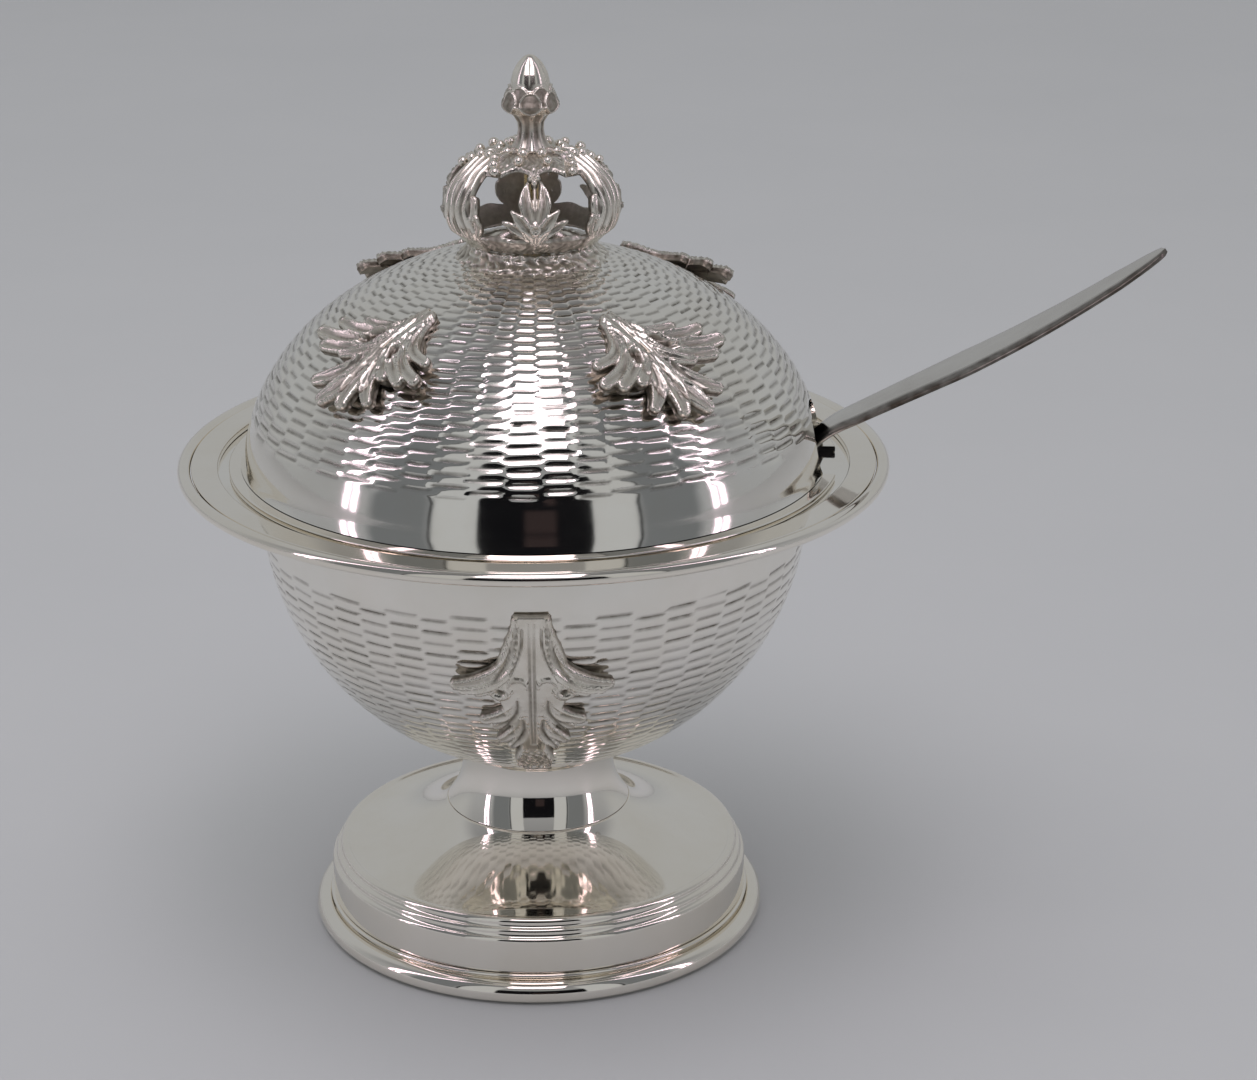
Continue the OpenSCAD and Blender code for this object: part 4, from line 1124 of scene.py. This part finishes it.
def crown_shape(xy):
    """A third of the crown, with x across from the palmette's middle and y up the wall."""
    x, y = xy.T
    ones = np.ones(len(xy))
    skin = 0.10 * np.sin(2.7 * x + 2 * np.sin(1.9 * y)) * np.sin(2.3 * y + 1.5 * np.sin(1.7 * x))
    parts = []
    # the cup below the openings, and the roof that the neck stands on
    sill = 0.35 * np.exp(-((y - SILL + 0.4) / 0.35) ** 2)
    parts.append((SILL + 0.25 * np.cos(x * 0.9) - y, 0.4 + skin + sill, 0 * ones,
                  np.clip(0.45 - 3 * skin, 0, 0.8)))
    # two round arches above each palmette
    arch = HEAD - 1.6 * (np.abs(np.abs(x) - 3.6) / 3.6) ** 2 * (np.abs(x) < 7.2) - 1.6 * (np.abs(x) >= 7.2)
    edge_of_arch = y - arch
    bead_row = 0.3 * np.exp(-((edge_of_arch - 0.55) / 0.3) ** 2) * (0.6 + 0.4 * np.cos(x * 4.4))
    parts.append((edge_of_arch, 0.45 + skin + bead_row, 0.1 * ones, np.clip(0.35 - 3 * skin, 0, 0.8)))
    # straps at both edges of the third, with ribs that run up them
    from_middle = THIRD - np.abs(x)
    wide = np.interp(y, (SILL - 2, SILL + 1, SILL + 5, HEAD - 2, HEAD + 2), (4.2, 4.4, 3.6, 4.0, 5.2))
    wave = from_middle / wide
    crest = np.abs(np.sin(2 * math.pi * wave + 0.25 * np.sin(y * 0.9)))
    ribs = 0.95 * crest ** 0.7 - 0.45
    fade = np.clip((y - SILL + 1.5) / 1.5, 0, 1)
    parts.append((wide - from_middle, 0.6 + ribs * fade, 0.15 * ones,
                  np.clip(1.15 - 1.7 * crest, 0, 1) * fade))
    for m in (-1, 1):
        # curled leaf ends low on the straps
        for root, tip_at, bow in ((((THIRD - 3.6), SILL - 0.3), (THIRD - 5.0, SILL + 3.4), -0.7),
                                  (((THIRD - 3.4), SILL + 2.0), (THIRD - 4.3, SILL + 6.4), -0.6)):
            parts.append(finger(xy, bend_of((m * root[0], root[1]), (m * tip_at[0], tip_at[1]), m * bow),
                                (0.4, 0.7, 0.8, 0.7), 0.45, 0.45, (0.3, 0.6)))
        # a petal pair on each side of the palmette's bead, and the upright leaves above it
        for tip_x, tip_z, w, lift in ((5.2, 6.3, 0.95, 0.5), (3.7, 8.1, 1.1, 0.8)):
            parts.append(finger(xy, bend_of((m * 0.3, up_to(2.7)), (m * tip_x, up_to(tip_z)), -m * 0.5),
                                (0.35, w * 0.9, w, w * 0.9, 0.35), 0.45, 0.5, (0.3, lift), 0.35))
        parts.append(finger(xy, bend_of((m * 0.5, up_to(6.2)), (m * 1.3, up_to(12.2)), m * 0.7),
                            (0.4, 1.1, 1.25, 0.9, 0.35), 0.5, 0.45, (0.35, 0.5), 0.35))
    # four knobs under the arches
    for x0, z0 in ((-0.75, 12.9), (0.75, 12.9), (0, 13.8), (0, 12.2)):
        knob = 0.7 - np.hypot(x - x0, y - up_to(z0))
        parts.append((knob, 0.4 + np.sqrt(np.clip(0.7 ** 2 - (0.7 - knob) ** 2, 0, 9)), 0.3 * ones,
                      np.clip(1 - knob / 0.2, 0, 1) * 0.8))
    # the stalk behind the petals, and the rib that carries it up to the knobs
    for bottom, top, widths, trough, lift in ((2.4, 6.2, (0.6, 0.7, 0.6), 0.5, 0.3),
                                              (5.8, 14.0, (0.5, 0.35, 0.4), 0.4, 0.2)):
        stalk = np.array([(0, up_to(bottom)), (0, up_to(top))])
        parts.append(finger(xy, stalk, widths, 0.1, trough, (lift, lift)))
    # the pierced bead, not cut through: its middle is painted dark as painted shade in the hole, and its
    # outer edge takes the patina
    away = np.hypot(x, y - up_to(5.4))
    ring = np.exp(-((away - 0.72) / 0.26) ** 2)
    parts.append((1.05 - away, 0.5 + 0.55 * ring, 0.45 * ones,
                  np.maximum(np.clip(1 - away / 0.3, 0, 1), np.clip((away - 0.9) / 0.1, 0, 1))))
    return union(parts)


# %% Three thirds welded into one
points, faces, dark = casting((-THIRD, 0), (THIRD, float(wall_run[-1])), 0.215, crown_shape, on_crown,
                              1.1, open_sides=True)
CROWN_TURN = 8.0            # the crown isn't quite square to the spoon
copies, all_faces = [], []
for k in range(3):
    all_faces += [tuple(p + k * len(points) for p in f) for f in faces]
    copies.append(points @ spin_by(CROWN_TURN + 120 * k).T)
crown = new_object("crown_openwork", np.vstack(copies), all_faces)
store_patina_and_shade(crown, np.tile(dark, 3))
weld = crown.modifiers.new("weld", "WELD")
weld.merge_threshold = 0.00002
plain_mesh(crown)
finish_piece(crown, CAST, "lid", "aged_cast_silver", "crown")

# %% [markdown]
# Small beads ring the top of the crown and run down the shoulders of its straps.
# A Geometry Nodes tree sets one bead on each point of a path, with a little
# variation in size.
# %% Beads on a path
beads, b_in, b_out = group(
    "Beads on a path",
    [("Geometry", "NodeSocketGeometry", None),
     ("Bead Radius", "NodeSocketFloat", 0.8),
     ("Variation", "NodeSocketFloat", 0.15),
     ("Seed", "NodeSocketInt", 1),
     ("Material", "NodeSocketMaterial", None)],
    [("Geometry", "NodeSocketGeometry")], "GeometryNodeTree")
B = b_in.outputs
ball = add(beads, "GeometryNodeMeshIcoSphere", inputs={
    "Subdivisions": 3, "Radius": maths(beads, "MULTIPLY", B["Bead Radius"], MM)})
size = add(beads, "FunctionNodeRandomValue", data_type="FLOAT", inputs={
    "Seed": B["Seed"], 2: maths(beads, "SUBTRACT", 1.0, B["Variation"]),
    3: maths(beads, "ADD", 1.0, B["Variation"])})
smooth_ball = add(beads, "GeometryNodeSetShadeSmooth", inputs={0: ball.outputs[0]})
set_on = add(beads, "GeometryNodeInstanceOnPoints", inputs={
    "Points": B["Geometry"], "Instance": smooth_ball.outputs[0], "Scale": size.outputs[1]})
real = add(beads, "GeometryNodeRealizeInstances", inputs={0: set_on.outputs[0]})
dressed = add(beads, "GeometryNodeSetMaterial", inputs={
    "Geometry": real.outputs[0], "Material": B["Material"]})
beads.links.new(dressed.outputs[0], b_out.inputs[0])
print("bead tree:", len(beads.nodes), "nodes")

# %% Beads on the crown
RING_BEADS, RING_R, PROUD = 11, 5.3, 0.35
STRAP_BEADS = ((0, 14.9), (14, 14.7), (-14, 14.7), (20, 14.0), (-20, 14.0), (26, 13.2), (-26, 13.2),
               (44, 14.7), (-44, 14.7))      # degrees from a strap's middle, height on the crown
path = []
for k in range(RING_BEADS):
    t = 2 * math.pi * k / RING_BEADS
    path.append((RING_R * math.cos(t), RING_R * math.sin(t), CROWN_TOP + PROUD))
for k in range(3):
    for sweep, z in STRAP_BEADS:
        t = math.radians(-90 + CROWN_TURN + 60 + 120 * k + sweep)
        r = float(np.interp(CROWN_FOOT + z, wall[:, 1], wall[:, 0])) + PROUD
        path.append((r * math.cos(t), r * math.sin(t), CROWN_FOOT + z + PROUD))
crown_beads = new_object("crown_beads", path, [])
run_nodes(crown_beads, beads, {"Bead Radius": 0.85, "Variation": 0.16, "Seed": 4, "Material": CAST})
finish_piece(crown_beads, CAST, "lid", "aged_cast_silver")

# %% [markdown]
# The collar between lid and crown keeps the rough skin of its casting. It is a
# turned ring pushed about by noise, with the hollows darkened.
# %% Points of a turned piece


def turned_points(obj):
    """A mesh's points in millimetres, and the angle of each round the centre line."""
    co = np.array([v.co for v in obj.data.vertices]) / MM
    return co, np.arctan2(co[:, 1], co[:, 0])


def push_out(obj, co, turn, by):
    """Moves each point away from the centre line."""
    co[:, 0] += by * np.cos(turn)
    co[:, 1] += by * np.sin(turn)
    obj.data.vertices.foreach_set("co", (co * MM).ravel())


# %% Rough collar
COLLAR_R, COLLAR_BORE = 12.9, 8.0
foot_z = DOME_MID + DOME_B * math.sqrt(1 - (COLLAR_R / DOME_A) ** 2)
head_z = CROWN_FOOT - SOLDER
curve = [(COLLAR_R, foot_z - 0.3), (12.3, foot_z + 0.5), (11.2, foot_z + 1.3), (10.6, foot_z + 2.1),
         (10.5, head_z)]
ring, _ = evenly(curve, 0, None, 0.22)
collar = lathe("crown_collar_rough", ring + [(COLLAR_BORE, head_z), (COLLAR_BORE, foot_z - 0.3)], 300)
co, turn = turned_points(collar)
bumps = 0.28 * np.sin(17 * turn + 2.1 * np.sin(3.3 * co[:, 2]))
bumps *= np.cos(2.6 * co[:, 2] + 2 * np.sin(9 * turn))
bumps += 0.14 * np.sin(41 * turn + 3 * co[:, 2])
outer_skin = np.hypot(co[:, 0], co[:, 1]) > COLLAR_BORE + 2
bumps = np.where(outer_skin, bumps, 0)
push_out(collar, co, turn, bumps)
store_patina_and_shade(collar, np.clip(0.35 - bumps * 1.6, 0, 1) * outer_skin)
finish_piece(collar, CAST, "lid", "aged_cast_silver", "crown_collar")

# %% [markdown]
# ## The bud
# A turned neck carries a bud: two rows of rounded scales clasp its foot, and its
# point has flat facets. The scales are raised on a turned grid by a formula, in
# the same way as the strokes, but in plain code because there are only a few.
# %% Outline of bud and neck
BUD_R, NECK_H = 4.4, 5.9
WIDEST = 0.17               # share of the bud's height below its widest part
bud_lo, bud_hi = reach("bud_finial")[1:]
scale_foot = bud_lo + NECK_H
neck = [(0, bud_lo)] + [(r, bud_lo + z) for r, z in (
    (3.5, 0), (3.2, 0.4), (2.6, 1.2), (2.2, 2.2), (2.0, 3.3), (2.1, 4.5), (2.7, 5.5))]
tall = bud_hi - scale_foot
body_curve = []
for t in np.linspace(0, 1, 90):
    if t < WIDEST:
        r = BUD_R * (0.72 + 0.28 * math.sin(t / WIDEST * math.pi / 2))
    else:
        r = BUD_R * ((1 - t) / (1 - WIDEST)) ** 0.5
    body_curve.append((r, scale_foot + tall * t))
bud = lathe("bud_leafy", neck + body_curve, 180, closed=False)
print("bud", round(tall, 2), "mm high on a neck of", NECK_H, "mm")

# %% [markdown]
# Each scale is an oval round a centre on the bud. Its rim stands proud, its middle
# is dished and dark, and the upper row overlaps the lower one. Fine flutes run up
# the neck.
# %% Scales, facets and flutes
SCALES = 6                  # scales in a row
co, turn = turned_points(bud)
t = (co[:, 2] - scale_foot) / tall
lift = np.zeros(len(co))
dark = np.zeros(len(co))
for row, (centre, reach_up, wide, high) in enumerate(((0.32, 0.18, 0.44, 0.42), (0.22, 0.20, 0.44, 0.55))):
    phase = ((turn + 1.47) * SCALES / (2 * math.pi) + 0.5 * row) % 1 - 0.5
    inside = 1 - (phase / wide) ** 2 - ((t - centre) / reach_up) ** 2
    rim = np.exp(-((inside - 0.16) / 0.12) ** 2) * (inside > 0)
    new = high * (0.25 * np.sqrt(np.clip(inside, 0, 1)) + 0.75 * rim)
    lift = np.where(inside > 0, new + 0.1 * (row + 1), lift)
    dark = np.where(inside > 0, np.clip(1 - rim * 1.6, 0, 1) * 0.8, dark)
facet = 0.18 * np.abs(np.cos(turn * 3)) * np.clip((t - 0.45) / 0.1, 0, 1) * np.clip((1 - t) / 0.15, 0, 1)
lift = np.where(t > 0, lift, 0) + np.where(t > 0.45, facet, 0)
radius = np.hypot(co[:, 0], co[:, 1])
lift = np.minimum(lift, radius * 0.3) - 0.35 * np.clip(t * 4, 0, 1) * np.clip((0.7 - t) * 4, 0, 1)
flutes = 0.14 * np.cos(9 * turn) * (t < 0) * (radius > 1)
push_out(bud, co, turn, lift + flutes)
neck_dark = np.clip(1.25 - np.abs(co[:, 2] - (bud_lo + 3.4)) / 3.4, 0, 0.9)
neck_dark = neck_dark * np.clip(0.8 - 4 * flutes, 0.4, 1)
store_patina_and_shade(bud, np.where(t > 0, dark, neck_dark))
finish_piece(bud, CAST, "lid", "aged_cast_silver", "bud_finial")

# %% [markdown]
# ## The spoon
# The spoon is one forging: a long leaf-shaped handle, a narrow neck that passes
# over the bowl's edge, and a dished bowl. Cross-sections are lofted along its
# middle line, which is walked step by step from its slope at each point. The
# near edge of the handle, on the side towards the camera, is painted dark brown:
# painted shade.
# %% Middle line and sections of the spoon
HANDLE, NECK, SCOOP = 60.0, 45.0, 40.0      # lengths along the middle line
TIP = -(NECK + SCOOP) + 1.4                 # the neck runs a little into the scoop
SLOPES = [(TIP - 12, 26), (-NECK - 15, 33), (-NECK + 1, 58), (-9, 58), (0, 27), (HANDLE / 3, 27),
          (HANDLE + 2, 37)]                 # place along the line, degrees above level


def slope(s):
    """Slope at a place; 0 is where the handle leaves the notch."""
    return math.radians(float(np.interp(s, *zip(*SLOPES))))


def walk(way, length, steps):
    """Walks up (1) or down (-1) the middle line, and gives x, z and place."""
    p, out = np.array([MOUTH_R + 6.5, SEAT + 8.25]), []
    d = length / steps
    for i in range(steps + 1):
        out.append((p[0], p[1], way * d * i))
        a = slope(way * d * (i + 0.5))
        p = p + way * d * np.array([math.cos(a), math.sin(a)])
    return out


scoop_end = TIP + SCOOP
SCOOP_W, SCOOP_DEPTH = 13, 4.5              # half width and depth of the scoop


def half_width(s):
    """Half the width: an oval scoop, a narrow neck and a leaf-shaped handle."""
    if s < scoop_end:
        k = (s - TIP) * 2 / SCOOP - 1
        side = SCOOP_W * math.sqrt(max(0, 1 - k * k))
        return max(0.25, side + (2.4 * ((s - TIP) / SCOOP) ** 6 if k > 0 else 0))
    keys = [(scoop_end, 2.4), (-20, 2.2), (-8, 3.7), (2, 5.3)]
    keys += [(HANDLE * share, w) for share, w in ((0.38, 6.8), (0.6, 6.0), (0.85, 4.6), (0.955, 3.1))]
    w = float(np.interp(s, *zip(*keys)))
    end = (s - HANDLE * 0.93) / (HANDLE * 0.07)
    return w if end <= 0 else max(0.2, w * math.sqrt(max(0, 1 - end * end)))


def half_thick(s):
    """Half the thickness: thin in the scoop and handle, stout in the neck."""
    keys = [(TIP, 0.5), (scoop_end, 0.5), (scoop_end + 5, 0.9), (-12, 0.9), (2, 0.6), (HANDLE, 0.55)]
    return float(np.interp(s, *zip(*keys)))


# %% [markdown]
# Each section is a flat oval with nearly square ends. Where the scoop is, its
# middle is pushed down by the dish. The sections are joined ring to ring, and the
# two ends are closed.
# %% Lofting the spoon
line = walk(-1, -TIP, 150)[:0:-1] + walk(1, HANDLE, 110)
ROUND = 44                                  # points round a section
points, near_edge_shade = [], []
for x, z, s in line:
    a, w, t = slope(s), half_width(s), half_thick(s)
    k = (s - TIP) * 2 / SCOOP - 1
    dish = SCOOP_DEPTH * max(0, 1 - k * k) ** 0.75 if s < scoop_end else 0
    t = min(t, 0.5 * t + w * 0.5)
    for i in range(ROUND):
        u = 2 * math.pi * i / ROUND
        across = w * math.copysign(abs(math.cos(u)) ** 0.8, math.cos(u))
        h = t * math.copysign(abs(math.sin(u)) ** 0.45, math.sin(u)) - dish * (1 - (across / w) ** 2)
        points.append((x - h * math.sin(a), across, z + h * math.cos(a)))
        # painted shade: the handle's near edge, on the camera's side, takes the dark patina colour
        near_edge = np.interp(-across / w, (0.50, 0.68), (0, 1))
        near_edge_shade.append(float(near_edge * np.interp(s, (-6, 0), (0, 1))))
rows = len(line)
faces = [((i + 1) * ROUND + j, (i + 1) * ROUND + (j + 1) % ROUND, i * ROUND + (j + 1) % ROUND, i * ROUND + j)
         for i in range(rows - 1) for j in range(ROUND)]
faces += [tuple(range(ROUND)), tuple(range((rows - 1) * ROUND, rows * ROUND))[::-1]]
spoon = new_object("spoon_forged", points, faces)
spoon.data.set_sharp_from_angle(angle=math.radians(60))
store_patina_and_shade(spoon, near_edge_shade)
finish_piece(spoon, WORN_AND_SHADED, "spoon", "polished_silver", "spoon")

# %% [markdown]
# A stud, a washer and a nut hold the finial. The washer and the nut are inside the
# lid, and only a little of the stud shows through the crown's openings, so their
# CAD solids are used as they are, in brass.
# %% Brass fixings
for node in ("finial_stud", "finial_washer", "finial_nut"):
    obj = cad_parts[node]
    obj.data.materials.clear()
    obj.data.materials.append(BRASS)
    print(node, "in", BRASS.name)

# %% [markdown]
# ## Floor, light and camera
# Silver shows its surroundings, so the room matters as much as the metal. The
# bowl stands on a wide pale sheet inside a plain light tent: soft grey walls, a
# strip lamp at each side, one overhead, and the dark opening at the front.
# %% Pale floor
FLOOR = 6000                # half the floor's side
corners = [(x * FLOOR, y * FLOOR, 0) for x, y in ((-1, -1), (1, -1), (1, 1), (-1, 1))]
floor = new_object("floor", corners, [(0, 1, 2, 3)])
paper = bpy.data.materials.new("Pale sheet")
paper.use_nodes = True
tree = paper.node_tree
shader = tree.nodes["Principled BSDF"]
place = add(tree, "ShaderNodeTexCoord").outputs["Object"]
cloud = add(tree, "ShaderNodeTexNoise", inputs={
    "Vector": place, "Scale": 9.0, "Detail": 6.0, "Roughness": 0.6})
ramp = add(tree, "ShaderNodeMix", data_type="RGBA", inputs={
    0: cloud.outputs[0], 6: (0.385, 0.392, 0.405, 1), 7: (0.415, 0.42, 0.432, 1)})
tree.links.new(ramp.outputs[2], shader.inputs["Base Color"])
shader.inputs["Roughness"].default_value = 0.6
floor.data.materials.append(paper)
print(paper.name, "floor,", 2 * FLOOR, "mm wide")

# %% [markdown]
# The tent is the world itself, drawn by direction. Azimuth is 0 towards the front,
# aside is the same without its sign, and height is measured up from level. A mirror
# ray sees the tent, a matt surface an even glow, and the camera plain grey.
# %% Directions in the tent
world = bpy.data.worlds.new("Light tent")
bpy.context.scene.world = world
world.use_nodes = True
tree = world.node_tree
tree.nodes.clear()
look = add(tree, "ShaderNodeSeparateXYZ", inputs={0: add(tree, "ShaderNodeTexCoord").outputs["Generated"]})
east, north, up = look.outputs
azimuth = maths(tree, "MULTIPLY", maths(tree, "ARCTAN2", east, maths(tree, "MULTIPLY", north, -1.0)), 57.2958)
azimuth = maths(tree, "SUBTRACT", azimuth, 5.75)
height = maths(tree, "MULTIPLY", maths(tree, "ARCSINE", up), 57.2958)
aside = maths(tree, "ABSOLUTE", azimuth)


# %% [markdown]
# Three small helpers say where something hangs in the tent, where two such bands
# cross, and in what colour it is painted.
# %% Hanging things in the tent


def band(value, low, high, soft):
    """1 between two angles, with soft edges."""
    rise = smooth(tree, value, low - soft, low + soft)
    fall = smooth(tree, value, high - soft, high + soft)
    return maths(tree, "MULTIPLY", rise, maths(tree, "SUBTRACT", 1.0, fall))


def both(a, b):
    """Where two bands cross."""
    return maths(tree, "MULTIPLY", a, b)


def paint(base, mask, value):
    """Paints a colour over a base where the mask is 1."""
    return add(tree, "ShaderNodeMix", data_type="RGBA", inputs={
        0: mask, 6: base, 7: (*value, 1)}).outputs[2]


# %% Walls, panels, opening and strip lamps
STRIP = (3.2, 2.6, 3.1)
walls = add(tree, "ShaderNodeMix", data_type="RGBA", inputs={
    0: smooth(tree, height, 0.0, 75.0), 6: (0.33, 0.34, 0.355, 1), 7: (0.20, 0.205, 0.215, 1)}).outputs[2]
for mask, tone in (
    (both(band(aside, 105, 200, 12), band(height, 2, 60, 8)), (0.39, 0.40, 0.41)),             # back wall
    (both(band(aside, 22, 39.5, 0.8), band(height, -8, 60, 4)), (0.44, 0.45, 0.46)),           # pale panels
    (band(aside, 41, 66, 3), (0.15, 0.16, 0.17)),                                              # shaded sides
    (band(aside, 40, 41.2, 0.4), (0.01, 0.01, 0.01)),                                          # seams
    (both(band(aside, -1, 22, 0.6), band(height, -8, 32, 0.6)), (0.004, 0.004, 0.005)),        # opening
    (both(band(azimuth, -4, 8, 1.5), band(height, 2, 14, 1.5)), (0.028, 0.02, 0.02)),          # within it
    (both(band(aside, 72, 74.5, 0.4), band(height, -5, 70, 4)), STRIP),                        # strip lamps
    (both(band(aside, 76, 78.5, 0.4), band(height, -5, 70, 4)), STRIP),
):
    walls = paint(walls, mask, tone)
print("tent:", len(tree.nodes), "nodes")

# %% What each kind of ray sees
rays = add(tree, "ShaderNodeLightPath").outputs
mirror = add(tree, "ShaderNodeBackground", inputs={"Color": walls, "Strength": 1.0})
ambient = add(tree, "ShaderNodeBackground", inputs={"Color": (0.95, 0.95, 0.96, 1), "Strength": 0.80})
seen = add(tree, "ShaderNodeBackground", inputs={"Color": (0.40, 0.41, 0.42, 1), "Strength": 1.0})
glow = add(tree, "ShaderNodeMixShader", inputs={
    0: rays["Is Glossy Ray"], 1: ambient.outputs[0], 2: mirror.outputs[0]})
sorted_rays = add(tree, "ShaderNodeMixShader", inputs={
    0: rays["Is Camera Ray"], 1: glow.outputs[0], 2: seen.outputs[0]})
add(tree, "ShaderNodeOutputWorld", inputs={0: sorted_rays.outputs[0]})

# %% [markdown]
# A wide lamp overhead gives the soft shadow and doesn't show in the silver. A
# second, long and narrow, makes the bright streak down the front of the lid.
# %% Soft lamps


def lamp(name, where, aim, size, power, glossy):
    """A round soft lamp that points at a place; glossy says if mirrors show it."""
    data = bpy.data.lights.new(name, "AREA")
    data.shape, data.size, data.energy = "DISK", size, power
    obj = bpy.data.objects.new(name, data)
    bpy.context.scene.collection.objects.link(obj)
    obj.location = where
    obj.rotation_euler = (obj.location - Vector(aim)).to_track_quat("Z", "Y").to_euler()
    obj.visible_glossy = glossy
    return obj


lamp("top lamp", (-0.2, -0.15, 1.3), (0, 0, 0), 1.4, 5.0, False)
strip = lamp("overhead strip", (0.01, -0.10, 0.43), (0.01, 0.072, 0.33), 0.12, 0.38, True)
strip.data.shape, strip.data.size_y = "RECTANGLE", 0.40
strip.data.color = (1.0, 0.87, 0.97)

# %% [markdown]
# The camera stands in front of the bowl, half a metre away, and looks down at it
# by about 20 degrees. The view transform is Standard, so colours come out as set.
# %% Camera
LOOK_DOWN, LOOK_LEFT = 20.11, 3.82          # degrees
camera = bpy.data.objects.new("camera", bpy.data.cameras.new("camera"))
bpy.context.scene.collection.objects.link(camera)
camera.location = (0.0474, -0.4707, 0.2416)
camera.rotation_euler = (math.radians(90 - LOOK_DOWN), 0, math.radians(LOOK_LEFT))
camera.data.sensor_width = 36.0
camera.data.lens = 84.17
bpy.context.scene.camera = camera
bpy.context.scene.view_settings.view_transform = "Standard"
